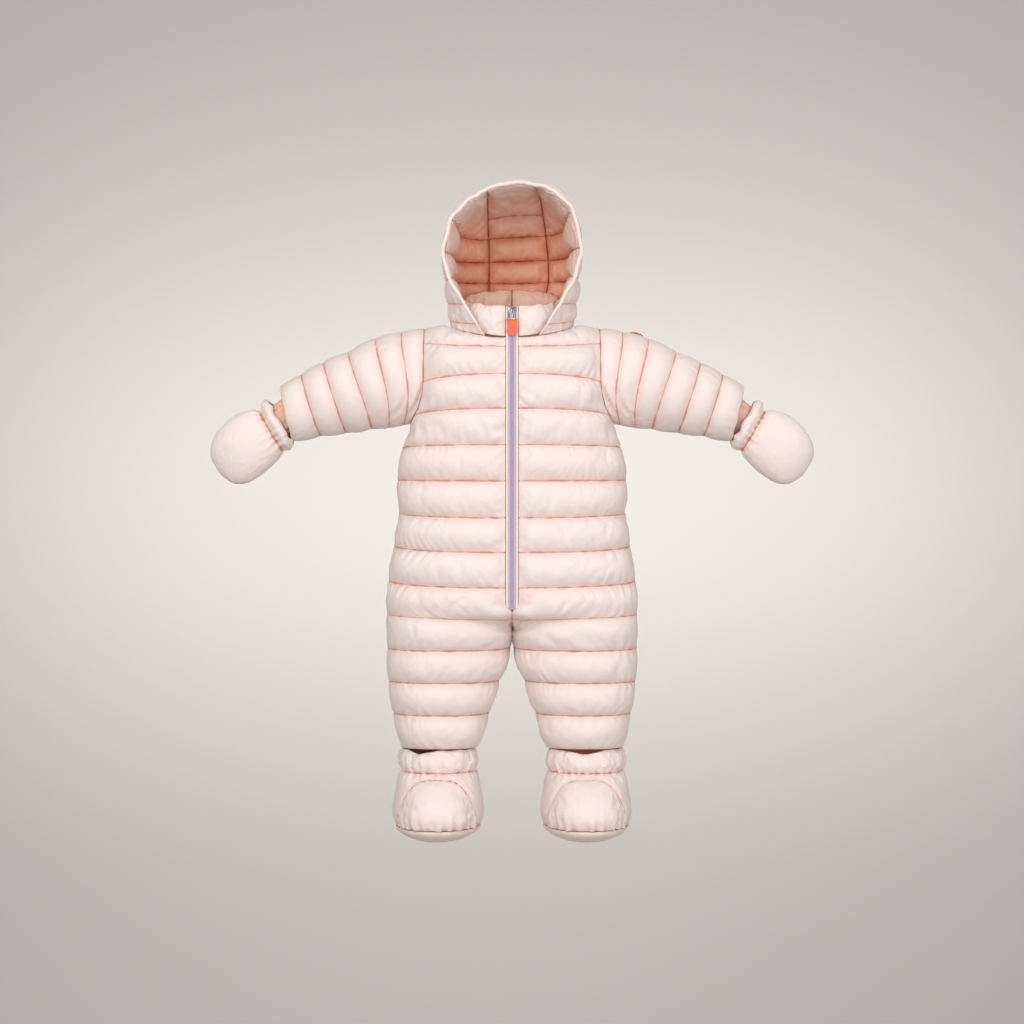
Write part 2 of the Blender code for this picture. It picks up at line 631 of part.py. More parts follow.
def armhole_slopes(rows):
    """Points of the armhole seam with the steepest slope that the padding has beside them."""
    slopes = []
    for p in arm_ring(rows):
        share = (p.z - ARM_CENTRE_Z + ARM_HALF_Z) / (2.0 * ARM_HALF_Z)
        slopes.append((p, lerp(0.4, 0.9, share)))
    return slopes


def set_inseam_gap(base, rows):
    """Below the crotch the front and back panels meet at the inseam, a seam gap apart."""
    for r, v in enumerate(rows):
        if v >= V_CROTCH - 1e-6:
            step = (base[r][1] - base[r][0]).normalized()
            base[r][0] = base[r][0] + step * SEAM_INSET


def sleeve_ring_point(k, angle):
    if k == 0:
        side = -1 if angle <= math.pi else 1
        return arm_point(angle if angle <= math.pi else 2.0 * math.pi - angle, side)
    ring = SLEEVE[k - 1]
    share = 0.5 + 0.5 * math.cos(angle)
    dip = ring.dip * math.sin(angle) ** 2 * (1.0 - share)
    return Vector((lerp(ring.bottom_x, ring.top_x, share) - dip,
                   -ring.half_y * math.sin(angle), lerp(ring.bottom_z, ring.top_z, share)))


def sleeve_fullness(angle):
    level = math.cos(angle)
    return 1.0 - (FLAT_SLEEVE_TOP if level > 0.0 else FLAT_SLEEVE_UNDER) * level * level


def sleeve_point(v, angle):
    return smooth_value([sleeve_ring_point(k, angle) for k in range(len(SLEEVE) + 1)], v)


# ---- hood and collar ---------------------------------------------------------------------
def neck_ring_side():
    """Neck edge under a side panel, back to front, on the same chords as the body's edge."""
    stops = [u for u in COLUMNS if 0.1 < u <= NECK_COLUMN]
    ring = [neck_row(u, 1, CENTRE_INSET) for u in stops]
    ring += [neck_row(u, -1, ZIP_HALF) for u in stops[-2::-1]]
    points = [ring[0]]
    for i, p in enumerate(ring[1:]):
        if 0 < i < len(ring) - 2:
            points.append(ring[i].lerp(p, 0.5))
        points.append(p)
    return [p + Vector((0.0, 0.0, HOOD_LIFT)) for p in points]


def hood_values(v):
    return [table_value(HOOD, column, min(v, HOOD_NECK_ROW - 1)) for column in Hood._fields]


def hood_side_row(v, count, sign):
    """Row of a side panel from the centre panel's seam (first) to the rim (last)."""
    seam_x, seam_y, seam_z, rim_x, rim_y, rim_z, side_x, side_y, shift = hood_values(v)
    seam_x += sign * shift
    points = []
    for j in range(count):
        w = j / (count - 1)
        z = lerp(seam_z, rim_z, w)
        if w < 0.5:
            angle = math.pi * w
            x = seam_x + (side_x - seam_x) * math.sin(angle) ** 0.9
            y = side_y + (seam_y - side_y) * math.cos(angle) ** 0.9
        else:
            t = 2.0 * w - 1.0
            x = side_x + (rim_x - side_x) * t ** 1.8
            y = lerp(side_y, rim_y, t)
        points.append(Vector((x, y, z)))
    return points


def hood_side_grid(sign):
    neck = neck_ring_side()
    last = hood_side_row(HOOD_NECK_ROW - 1, len(neck), sign)
    grid = []
    for v in HOOD_ROWS:
        t = v - (HOOD_NECK_ROW - 1)
        if t > 0.0:
            row = [a.lerp(b, t) for a, b in zip(last, neck)]
        else:
            row = hood_side_row(v, len(neck), sign)
        grid.append([hood_tilt(Vector((sign * p.x, p.y, p.z))) for p in row])
    return grid


def hood_tilt(p):
    high = max(0.0, p.z / HOOD_TOP_Z)
    return Vector((p.x, p.y, p.z + HOOD_TILT * p.x * high * high))


def hood_centre_grid(left_grid, right_grid):
    """Centre panel between the seams of the two side panels, crowned outward."""
    neck = [neck_row(u, 1, CENTRE_INSET) for u in COLUMNS if u < 0.1]
    grid = []
    for r, v in enumerate(HOOD_ROWS):
        a, b = right_grid[r][0], left_grid[r][0]
        before = left_grid[max(r - 1, 0)][0]
        after = left_grid[min(r + 1, len(HOOD_ROWS) - 1)][0]
        out = Vector((0.0, before.z - after.z, after.y - before.y)).normalized()
        crown = HOOD_CROWN * min(1.0, HOOD_NECK_ROW - v)
        quarter = [a.lerp(b, k / 4.0) + out * crown * (1.0 - (k / 2.0 - 1.0) ** 2)
                   for k in range(5)]
        if v == HOOD_NECK_ROW:
            lift = Vector((0.0, 0.0, HOOD_LIFT))
            edge, middle = neck[1] + lift, neck[0] + lift
            quarter[1] = Vector((-edge.x, edge.y, edge.z))
            quarter[2] = Vector((0.0, middle.y, middle.z))
            quarter[3] = edge
        grid.append(quarter)
    return grid


def two_faced_wall(base, normals, raised, inner_share, wall_thickness):
    """Wall whose inside is padded too. The inner padding is a share of the outer."""
    inner = []
    for r, row in enumerate(base):
        line = []
        for c, p in enumerate(row):
            height = (raised[r][c] - p).length
            line.append(p - normals[r][c] * (wall_thickness + inner_share * height))
        inner.append(line)
    return wall(raised, inner, list(range(len(base))))


def build_hood():
    left, right = hood_side_grid(1.0), hood_side_grid(-1.0)
    centre = hood_centre_grid(left, right)
    store = {}
    gather_normals(store, left, 1.0)
    gather_normals(store, right, -1.0)
    gather_normals(store, centre, 1.0)
    pieces = (("hood_side_left", left, HOOD_LINES_SIDE, ("first_col",)),
              ("hood_side_right", right, HOOD_LINES_SIDE, ("first_col",)),
              ("hood_centre", centre, HOOD_LINES_CENTRE, ("first_col", "last_col")))
    near = [(row[0], HOOD_SEAM_SLOPE) for grid in (left, right) for row in grid]
    near += [(p, HOOD_NECK_SLOPE) for grid in (left, right, centre) for p in grid[-1]]
    for name, grid, lines, sides in pieces:
        normals = relax_rows(grid_normals(store, grid))
        base = inset_edges(grid, normals, sides)
        raised = quilt(base, normals, HOOD_ROWS, lines, HOOD_PUFF_RATIO, HOOD_PUFF_MAX, near=near)
        verts, faces = two_faced_wall(base, normals, raised, HOOD_INNER_SHARE, WALL)
        add_object(name, verts, faces, PINK)
    build_binding(left, right, centre)


def build_binding(left, right, centre):
    """Bound edge of the hood opening: one strip from chin to chin over the brow."""
    def rim(grid):
        line = [(grid[r][-1], grid[r][-2]) for r in range(len(grid) - 1, -1, -2)]
        return line + [(grid[0][c], grid[2][c]) for c in (6, 3, 0)]

    line = rim(right) + [(centre[0][2], centre[2][2])] + rim(left)[::-1]
    verts, faces = [], []
    aheads = [(p - beside).normalized() for p, beside in line]
    for i, (p, _) in enumerate(line):
        low, high = max(i - 1, 0), min(i + 1, len(line) - 1)
        tangent = (line[high][0] - line[low][0]).normalized()
        ahead = aheads[low] + aheads[i] * 2.0 + aheads[high]
        ahead = (ahead - tangent * ahead.dot(tangent)).normalized()
        out = tangent.cross(ahead)
        middle = p + ahead * BINDING_OUT - out * BINDING_SIDE
        for k in range(BINDING_SIDES):
            angle = 2.0 * math.pi * k / BINDING_SIDES
            verts.append(middle + out * BINDING_HALF_WIDTH * math.cos(angle)
                         + ahead * BINDING_HALF_DEPTH * math.sin(angle))
    n = BINDING_SIDES
    for i in range(len(line) - 1):
        for k in range(n):
            j = (k + 1) % n
            faces.append((n * i + k, n * i + j, n * i + n + j, n * i + n + k))
    faces.append(tuple(range(n)))
    faces.append(tuple(range(len(verts) - n, len(verts))))
    add_object("hood_binding", verts, faces, PINK, sharp=70.0)


def collar_point(angle, t):
    """Point of the left collar half: angle 0 at the zip, pi at the back, t upward."""
    front = angle < 0.5 * math.pi
    power = 2.0 / COLLAR_POWER if front else 1.0
    across = math.sin(angle) ** power
    along = signed_power(math.cos(angle), power)
    low_y = -along * (COLLAR_FRONT if front else COLLAR_BACK)
    top_y = -along * (COLLAR_TOP_FRONT if front else COLLAR_TOP_BACK)
    low_z = (NECK_Z_FRONT if front else NECK_Z_BACK) * math.cos(angle) ** 2 + COLLAR_LIFT
    top_z = lerp(COLLAR_TOP_Z_FRONT, COLLAR_TOP_Z_BACK, 0.5 - 0.5 * math.cos(angle))
    start = lerp(ZIP_HALF, CENTRE_INSET, angle / math.pi)
    low = Vector((start + (COLLAR_X - start) * across, low_y, low_z))
    top = Vector((start + (COLLAR_TOP_X - start) * across, top_y, top_z))
    return low.lerp(top, t)


def build_collar():
    angles = [math.pi * share for share in (0.0, 0.06, 0.17, 0.3, 0.43, 0.56, 0.69, 0.83, 0.95,
                                            1.0)]
    rows = [0.0, 0.2, 0.5, 0.8, 1.0]
    grid = [[collar_point(angle, t) for angle in angles] for t in rows]
    store = {}
    gather_normals(store, grid, 1.0)
    normals = grid_normals(store, grid)
    raised = quilt(grid, normals, rows, (0, 1), 1.0, COLLAR_PUFF)
    verts, faces = two_faced_wall(grid, normals, raised, COLLAR_INNER_SHARE, WALL)
    for v in verts:
        v.x = max(v.x, CENTRE_INSET)
    both_sides("collar", verts, faces, PINK)


# ---- cuffs, mittens and booties ----------------------------------------------------------
def ring_points(centre, up, up_reach, down_reach, half_y, inset, power=0.92):
    """Oval ring: its upper and lower halves reach differently, half_y each way in depth."""
    points = []
    for k in range(TUBE_COLUMNS):
        angle = 2.0 * math.pi * k / TUBE_COLUMNS
        reach = (up_reach if math.cos(angle) >= 0.0 else down_reach) - inset
        points.append(centre + up * reach * signed_power(math.cos(angle), power)
                      - Vector((0.0, (half_y - inset) * signed_power(math.sin(angle), power), 0.0)))
    return points


def build_inner_cuffs():
    outer, inner = [], []
    for ring in INNER_CUFF:
        lean = math.radians(ring.lean)
        centre, up = Vector((ring.x, 0.0, ring.z)), Vector((math.sin(lean), 0.0, math.cos(lean)))
        size = (ring.half_z, ring.half_z, ring.half_y)
        outer.append(ring_points(centre, up, *size, 0.0, 1.0))
        inner.append(ring_points(centre, up, *size, THIN_WALL, 1.0))
    verts, faces = wall(outer, inner, list(range(len(outer))), closed=True)
    both_sides("inner_cuff", verts, faces, PINK_INSIDE)


def mitten_frame():
    lean = math.radians(MITTEN_LEAN)
    along = Vector((math.cos(lean), 0.0, -math.sin(lean)))
    return Vector((MITTEN_X, 0.0, MITTEN_Z)), along, Vector((math.sin(lean), 0.0, math.cos(lean)))


def build_mittens():
    """Closed pouch with a puffed cuff, drawn in by elastic at its mouth."""
    start, along, up = mitten_frame()
    outer, inner = [], []
    for ring in MITTEN:
        centre = start + along * ring.along
        back = min(ring.wall, TIP_BACK_SHARE * max(0.0, ring.along - TIP_BACK_START))
        outer.append(ring_points(centre, up, ring.up, ring.down, ring.half_y, 0.0))
        inner.append(ring_points(centre - along * back, up, ring.up, ring.down, ring.half_y,
                                 ring.wall))
    outer.append([start + along * MITTEN_TIP])
    inner.append([start + along * (MITTEN_TIP - TIP_WALL)])
    verts, faces = wall(outer, inner, None, closed=True, tip=True)
    both_sides("mitten", verts, faces, PINK)


def boot_point(angle, at, inset=0.0):
    """Point of a bootie: angle in degrees from the toe, at a row number of its table."""
    half_x, toe, heel = (table_value(BOOT, c, at) - inset for c in ("half_x", "toe", "heel"))
    turn = math.radians(angle)
    reach = toe if math.cos(turn) >= 0.0 else heel
    return Vector((BOOT_X + half_x * signed_power(math.sin(turn), BOOT_POWER),
                   -reach * signed_power(math.cos(turn), BOOT_POWER),
                   table_value(BOOT, "z", at)))


def toe_seam(angle):
    """Row number where the toe cap meets the rest of the upper."""
    share = min(1.0, abs(angle) / TOE_CAP_ANGLE)
    return lerp(TOE_SEAM_TOP, TOE_SEAM_END, share ** TOE_SEAM_BEND)


def boot_piece(angles, rows, closed):
    """Wall of a bootie's upper. rows gives the row number at each angle of each ring."""
    outer = [[boot_point(a, at) for a, at in zip(angles, row)] for row in rows]
    inner = [[boot_point(a, at, table_value(BOOT, "wall", at)) for a, at in zip(angles, row)]
             for row in rows]
    return wall(outer, inner, list(range(len(rows))), closed=closed)


def build_booties():
    last = float(len(BOOT) - 1)
    ends = [toe_seam(a) - TOE_SEAM_GAP if abs(a) <= TOE_CAP_ANGLE else last for a in BOOT_ANGLES]
    above = [0.0, 1.0, 2.0, 3.0, 4.0]
    rows = [[at] * len(BOOT_ANGLES) for at in above]
    rows += [[lerp(5.0, end, t) for end in ends] for t in TOE_STEPS]
    verts, faces = boot_piece(BOOT_ANGLES, rows, True)
    both_sides("bootie", verts, faces, PINK)
    cap = sorted(a for a in BOOT_ANGLES if abs(a) <= TOE_CAP_ANGLE)
    rows = [[lerp(toe_seam(a) + TOE_SEAM_GAP, last, t) for a in cap] for t in TOE_STEPS]
    verts, faces = boot_piece(cap, rows, False)
    both_sides("toe_cap", verts, faces, PINK)

    verts, faces = [], []
    for level in SOLE:
        verts += [Vector((*boot_point(a, last, level.inset).xy, level.z)) for a in BOOT_ANGLES]
    count = len(BOOT_ANGLES)
    for r in range(len(SOLE) - 1):
        for c in range(count):
            d = (c + 1) % count
            faces.append((r * count + c, r * count + d, r * count + count + d,
                          r * count + count + c))
    faces.append(tuple(range(count)))
    faces.append(tuple(range(len(verts) - count, len(verts))))
    both_sides("sole", verts, faces, PINK)


# ---- zip and badge -----------------------------------------------------------------------
def zip_path():
    """Points (y, z) of the stitched surface in the middle, from the collar's top down."""
    points = []
    for t in (1.0, 0.66, 0.33, 0.0):
        p = collar_point(0.0, t)
        points.append((p.y, min(p.z, ZIP_TOP_Z)))
    for v in [1.0 + 0.5 * k for k in range(15)] + [ZIP_LAST_ROW]:
        p = body_point(0.0, v, -1)
        points.append((p.y, p.z))
    return points


def sweep_on_zip(name, section, shift_x, colour):
    """Strip with one section all along the zip path."""
    path = zip_path()
    verts, faces = [], []
    for i, (y, z) in enumerate(path):
        (y0, z0), (y1, z1) = path[max(i - 1, 0)], path[min(i + 1, len(path) - 1)]
        out = Vector((0.0, z1 - z0, y0 - y1)).normalized()
        for x, depth in section:
            verts.append(Vector((x + shift_x, y, z)) + out * depth)
    n = len(section)
    for i in range(len(path) - 1):
        for k in range(n):
            j = (k + 1) % n
            faces.append((n * i + k, n * i + j, n * i + n + j, n * i + n + k))
    faces.append(tuple(range(n)))
    faces.append(tuple(range(len(verts) - n, len(verts))))
    add_object(name, verts, faces, colour, roughness=0.5)


def box(x0, x1, y0, y1, z0, z1):
    verts = [Vector((x, y, z)) for x in (x0, x1) for y in (y0, y1) for z in (z0, z1)]
    faces = [(0, 1, 3, 2), (4, 6, 7, 5), (0, 4, 5, 1), (2, 3, 7, 6), (0, 2, 6, 4), (1, 5, 7, 3)]
    return verts, faces


def prism(outline, y0, y1):
    """Flat outline of (x, z) points, with a thickness in y."""
    n = len(outline)
    verts = [Vector((x, y0, z)) for x, z in outline] + [Vector((x, y1, z)) for x, z in outline]
    faces = [tuple(range(n)), tuple(range(2 * n - 1, n - 1, -1))]
    faces += [(k, (k + 1) % n, n + (k + 1) % n, n + k) for k in range(n)]
    return verts, faces


def union(target, tool):
    """Join a second piece to the first and drop it."""
    joined = target.modifiers.new("join", "BOOLEAN")
    joined.operation = "UNION"
    joined.solver = "EXACT"
    joined.object = tool
    tool.hide_render = True
    tool.display_type = "WIRE"


def zip_front_y(z):
    """Depth of the stitched surface in the middle at a height beside the collar."""
    path = zip_path()
    for (y0, z0), (y1, z1) in zip(path, path[1:]):
        if z1 <= z <= z0:
            return lerp(y0, y1, (z0 - z) / (z0 - z1))
    return path[0][0]


def pull_axis():
    """Middle of the pull's hinge."""
    y = zip_front_y(SLIDER_Z) - SLIDER_FRONT - SLIDER_THICK - 0.5 * BRIDGE_RISE
    return Vector((0.0, y, SLIDER_Z + 0.5 * BRIDGE_DROP - BRIDGE_BAR - 0.5 * BRIDGE_RISE))


def build_slider():
    half, front = 0.5 * SLIDER_WIDTH, zip_front_y(SLIDER_Z) - SLIDER_FRONT
    low, high = SLIDER_Z - 0.5 * SLIDER_HEIGHT, SLIDER_Z + 0.5 * SLIDER_HEIGHT
    outline = [(-half + 1.5, high), (-half, high - 3.0), (-half + 1.2, low + 4.0),
               (-half + 2.4, low), (half - 2.4, low), (half - 1.2, low + 4.0),
               (half, high - 3.0), (half - 1.5, high)]
    plate = add_object("zip_slider", *prism(outline, front - SLIDER_THICK, front), METAL,
                       roughness=0.3, metallic=1.0)
    top, bottom = SLIDER_Z + 0.5 * BRIDGE_DROP, SLIDER_Z - 0.5 * BRIDGE_DROP
    back = front - SLIDER_THICK
    tip = back - BRIDGE_RISE - BRIDGE_BAR
    bars = ((back + 0.5, tip, top - BRIDGE_BAR, top), (back + 0.5, tip, bottom, bottom + BRIDGE_BAR),
            (back - BRIDGE_RISE, tip, bottom + 0.2, top - 0.2))
    for k, (y1, y0, z0, z1) in enumerate(bars):
        verts, faces = box(-BRIDGE_HALF, BRIDGE_HALF, y0, y1, z0, z1)
        union(plate, add_object("bridge_tool_" + str(k), verts, faces, METAL))


def build_pull():
    axis = pull_axis()
    half, wire = LINK_HALF_WIDTH, 0.5 * LINK_WIRE
    verts, faces = [], []
    for y in (axis.y - wire, axis.y + wire):
        for grow in (LINK_WIRE, 0.0):
            for x, z in ((-1, 0), (1, 0), (1, 1), (-1, 1)):
                level = axis.z - wire - z * (LINK_LENGTH - 2 * LINK_WIRE)
                level += grow if z == 0 else -grow
                verts.append(Vector((x * (half - LINK_WIRE + grow), y, level)))
    for k in range(4):
        j = (k + 1) % 4
        faces.append((k, j, 4 + j, 4 + k))
        faces.append((8 + k, 12 + k, 12 + j, 8 + j))
        faces.append((k, 8 + k, 8 + j, j))
        faces.append((4 + k, 4 + j, 12 + j, 12 + k))
    add_object("pull_link", verts, faces, METAL, roughness=0.3, metallic=1.0, origin=axis)

    top, wide, waist = axis.z - TAB_TOP_DROP, 0.5 * TAB_WIDTH, 0.5 * TAB_WAIST
    notch = half + TAB_NOTCH_GAP
    right = [(notch, top - TAB_NOTCH_DEPTH), (notch, top), (wide - 0.4, top),
             (wide, top - 2.0), (waist, top - 0.45 * TAB_LENGTH), (wide, top - 0.75 * TAB_LENGTH)]
    right += [(wide - 1.3, top - TAB_LENGTH + 2.2), (wide - 3.8, top - TAB_LENGTH)]
    outline = right + [(-x, z) for x, z in reversed(right)]
    verts, faces = prism(outline, axis.y - 0.5 * TAB_THICK, axis.y + 0.5 * TAB_THICK)
    add_object("pull_tab", verts, faces, ORANGE, roughness=0.5, origin=axis)


def build_badge():
    """Bare round badge on the top of the wearer's left sleeve, a little to the back."""
    angle = math.radians(BADGE_ANGLE)
    middle = sleeve_point(BADGE_ROW, angle)
    along = (sleeve_point(BADGE_ROW + 0.1, angle) - middle).normalized()
    around = (sleeve_point(BADGE_ROW, angle + 0.1) - middle).normalized()
    out = along.cross(around).normalized()
    out = out if out.z > 0.0 else -out
    side = out.cross(along)
    middle += out * (PUFF_MAX * 0.78 * sleeve_fullness(angle) + BADGE_LIFT)
    count = 20
    verts = []
    for lift, radius in ((0.0, BADGE_RADIUS), (0.6 * BADGE_THICK, BADGE_RADIUS),
                         (BADGE_THICK, BADGE_RADIUS - 0.8)):
        for k in range(count):
            turn = 2.0 * math.pi * k / count
            verts.append(middle + out * lift + along * radius * math.cos(turn)
                         + side * radius * math.sin(turn))
    faces = [tuple(range(count)), tuple(range(2 * count, 3 * count))]
    for r in range(2):
        for k in range(count):
            j = (k + 1) % count
            faces.append((r * count + k, r * count + j, r * count + count + j,
                          r * count + count + k))
    add_object("badge", verts, faces, ORANGE, roughness=0.6)


def main():
    clear_scene()
    build_body_and_sleeves()
    build_hood()
    build_collar()
    build_inner_cuffs()
    build_mittens()
    build_booties()
    sweep_on_zip("zip_coil", COIL_SECTION, 0.0, LILAC)
    sweep_on_zip("piping_left", PIPING_SECTION, PIPING_X, PINK)
    sweep_on_zip("piping_right", PIPING_SECTION, -PIPING_X, PINK)
    build_slider()
    build_pull()
    build_badge()


main()
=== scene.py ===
"""Baby snowsuit, dressed: quilted panels swollen by cloth simulation, zip, badge and a studio.

Lengths in the tables are millimetres. Finished meshes are in metres, in the frame of the part:
+X is the wearer's left, -Y is the front, +Z is up and the origin is between the shoulders.
"""
import math
from collections import namedtuple

import bmesh
import bpy
import numpy as np
from mathutils import Matrix, Vector


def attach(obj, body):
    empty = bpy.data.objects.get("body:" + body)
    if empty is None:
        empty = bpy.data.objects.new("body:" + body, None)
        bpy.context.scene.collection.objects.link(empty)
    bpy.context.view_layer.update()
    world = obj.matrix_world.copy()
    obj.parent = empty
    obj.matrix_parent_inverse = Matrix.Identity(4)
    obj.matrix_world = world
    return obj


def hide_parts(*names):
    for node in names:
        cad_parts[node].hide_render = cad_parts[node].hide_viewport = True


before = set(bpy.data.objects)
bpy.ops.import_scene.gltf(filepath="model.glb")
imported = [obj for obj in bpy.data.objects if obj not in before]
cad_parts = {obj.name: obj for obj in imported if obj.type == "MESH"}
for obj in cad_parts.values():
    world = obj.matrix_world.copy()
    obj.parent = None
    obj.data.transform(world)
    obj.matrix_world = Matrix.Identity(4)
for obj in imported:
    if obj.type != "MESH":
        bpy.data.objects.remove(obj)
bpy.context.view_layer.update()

bl_info = {
    "name": "Baby Snowsuit",
    "version": (1, 0, 0),
    "blender": (4, 5, 0),
    "location": "View3D > Sidebar > Snowsuit",
    "description": "Builds a quilted baby snowsuit panel by panel, with its zip and a studio",
    "category": "Object",
}

MM = 0.001

# ---- cut of the garment, millimetres
WALL = 3.0               # padded wall where it is stitched down
SEAM_INSET, CENTRE_INSET = 0.03, 0.03
PUFF_RATIO, PUFF_MAX, PUFF_POWER = 0.21, 9.5, 0.6
PUFF_START = 0.9         # share of the puff that is there before the cloth swells
EDGE_TAPER, SLEEVE_TAPER = 15.0, 6.0
SIDE_FLAT, SIDE_FROM = 0.72, 0.6         # less padding toward the side seam, from this share
INSEAM_FLAT, INSEAM_TO = 0.6, 0.32       # and inside the legs, up to this share
SLEEVE_FLAT_TOP, SLEEVE_FLAT_UNDER = 0.78, 0.5
HEM_SLIP, HEM_SLIP_WAVE = 2.4, 0.8       # how far a sleeve's end slips toward the hand
ZIP_HALF = 7.9
NECK_X, NECK_FRONT, NECK_BACK = 76.0, 64.0, 58.0
NECK_Z_FRONT, NECK_Z_BACK = -14.0, 8.0
SHOULDER_X, SHOULDER_Z = 113.0, 1.3
ARM_CENTRE_Z, ARM_HALF_Z, ARM_HALF_Y = -60.0, 61.3, 50.0
ARM_X, ARM_UNDER_OUT = 112.5, 18.5
V_UNDERARM, V_ZIP_END, ZIP_END_TAPER, V_CROTCH = 3.24, 8.75, 0.25, 9.57
LAST_ROW, LEG_FIRST = 13, 9
ACROSS_POWER, DEPTH_POWER, LEG_POWER, BACK_BOW = 0.94, 0.92, 0.96, 0.35

# Soft folds of each panel: path of (row, share of the way across), depth and width.
DEEP_CREASE = 2.4        # from this depth a fold gets painted shade as dark as at a stitch line
CREASE_GAP = 0.3
CREASES = {
    "front_right": (
        (((8.02, 0.10), (8.35, 0.05), (8.75, 0.012)), 4.4, 2.6),
        (((8.9, 0.005), (9.1, 0.05), (9.35, 0.12)), 3.6, 2.6),
        (((8.98, 0.005), (9.25, 0.02), (9.6, 0.03)), 3.0, 2.2),
        (((9.15, 0.03), (9.4, 0.16), (9.45, 0.30)), 1.6, 3.0),
        (((8.3, 0.18), (8.55, 0.27), (8.8, 0.33)), 2.2, 3.0),
        (((8.35, 0.30), (8.6, 0.36), (8.75, 0.40)), 1.2, 2.8),
        (((9.15, 0.62), (9.4, 0.66), (9.7, 0.67)), 1.1, 3.0),
        (((7.25, 0.45), (7.5, 0.56), (7.6, 0.66)), 1.1, 3.4),
        (((2.2, 0.55), (2.5, 0.68), (2.75, 0.80)), 1.3, 4.0),
        (((10.2, 0.10), (10.5, 0.22), (10.6, 0.36)), 1.2, 3.2),
    ),
    "front_left": (
        (((8.06, 0.085), (8.3, 0.045), (8.7, 0.012)), 4.2, 2.6),
        (((8.92, 0.005), (9.12, 0.06), (9.4, 0.14)), 3.6, 2.6),
        (((9.0, 0.005), (9.3, 0.02), (9.7, 0.025)), 3.0, 2.2),
        (((8.25, 0.30), (8.5, 0.24), (8.8, 0.20)), 2.2, 3.0),
        (((8.3, 0.38), (8.55, 0.34), (8.7, 0.31)), 1.2, 2.8),
        (((7.3, 0.62), (7.5, 0.52), (7.65, 0.44)), 1.2, 3.4),
        (((6.25, 0.58), (6.55, 0.55), (6.75, 0.47)), 1.2, 3.0),
        (((9.2, 0.18), (9.5, 0.30), (9.6, 0.42)), 1.2, 3.2),
        (((2.3, 0.62), (2.55, 0.74), (2.8, 0.84)), 1.4, 4.0),
        (((3.3, 0.72), (3.5, 0.82), (3.75, 0.90)), 1.3, 3.6),
        (((11.3, 0.55), (11.5, 0.66), (11.7, 0.74)), 1.0, 3.2),
    ),
    "back_left": (
        (((1.3, 0.55), (1.55, 0.68), (1.8, 0.80)), 1.4, 3.8),
        (((4.25, 0.60), (4.5, 0.72), (4.8, 0.80)), 1.2, 3.4),
        (((8.3, 0.05), (8.6, 0.14), (8.85, 0.26)), 2.2, 3.0),
        (((9.1, 0.03), (9.35, 0.14), (9.45, 0.28)), 2.0, 2.8),
        (((10.3, 0.55), (10.55, 0.45), (10.75, 0.38)), 1.2, 3.2),
    ),
    "back_right": (
        (((1.25, 0.60), (1.5, 0.72), (1.8, 0.84)), 1.4, 3.8),
        (((5.3, 0.50), (5.5, 0.62), (5.8, 0.70)), 1.2, 3.4),
        (((8.25, 0.07), (8.55, 0.18), (8.9, 0.24)), 2.2, 3.0),
        (((9.15, 0.02), (9.4, 0.11), (9.55, 0.24)), 2.0, 2.8),
        (((11.2, 0.40), (11.5, 0.52), (11.7, 0.62)), 1.1, 3.2),
    ),
    "sleeve_right": (
        (((0.1, 0.20), (0.4, 0.13), (0.8, 0.07)), 2.2, 3.0),
        (((0.05, 0.80), (0.35, 0.88), (0.8, 0.95)), 4.4, 2.8),
        (((1.25, 0.86), (1.5, 0.90), (1.8, 0.93)), 3.4, 2.6),
        (((2.4, 0.80), (2.6, 0.86), (2.8, 0.90)), 1.2, 3.0),
    ),
    "sleeve_left": (
        (((0.1, 0.19), (0.4, 0.13), (0.8, 0.07)), 2.2, 3.0),
        (((0.05, 0.81), (0.4, 0.88), (0.85, 0.94)), 4.4, 2.8),
        (((1.2, 0.85), (1.5, 0.90), (1.75, 0.93)), 3.4, 2.6),
        (((4.3, 0.70), (4.55, 0.76), (4.8, 0.80)), 1.1, 3.2),
    ),
}

Line = namedtuple("Line", "z_side bow half_width front back side_y sweep")
LINES = [
    Line(0.0, -17.0, 113.0, 64.0, 58.0, 0.0, 60.0),
    Line(-20.0, -6.0, 112.0, 67.0, 66.0, 0.0, 60.0),
    Line(-70.0, 9.0, 112.5, 77.0, 76.0, 0.0, 62.0),
    Line(-111.5, 7.0, 127.0, 80.0, 82.0, 0.0, 76.0),
    Line(-153.0, 2.5, 140.0, 80.0, 82.0, -3.0, 90.0),
    Line(-193.6, -2.5, 146.5, 80.0, 80.0, -6.0, 90.0),
    Line(-235.5, -7.0, 145.0, 81.0, 80.0, -8.0, 90.0),
    Line(-278.0, -8.0, 151.0, 83.0, 84.0, -10.0, 90.0),
    Line(-322.3, -8.0, 158.0, 84.0, 89.0, -11.0, 90.0),
    Line(-365.4, -5.0, 160.0, 80.0, 88.0, -11.0, 90.0),
    Line(-409.0, -1.5, 159.5, 70.0, 78.0, -10.0, 90.0),
]
Leg = namedtuple("Leg", "z bow outer inner front back inseam_y side_y")
LEGS = [
    Leg(-365.4, -5.0, 160.0, 0.2, 74.0, 80.0, 6.0, -11.0),
    Leg(-409.0, -1.5, 159.5, 2.2, 66.0, 72.0, 6.0, -10.0),
    Leg(-451.5, 0.0, 158.0, 16.5, 61.0, 65.0, 4.0, -8.0),
    Leg(-493.0, 0.0, 152.0, 30.5, 56.0, 58.0, 2.0, -5.0),
    Leg(-537.5, 1.0, 142.0, 44.5, 48.0, 48.0, 0.0, -2.0),
]
Ring = namedtuple("Ring", "top_x top_z bottom_x bottom_z half_y dip")
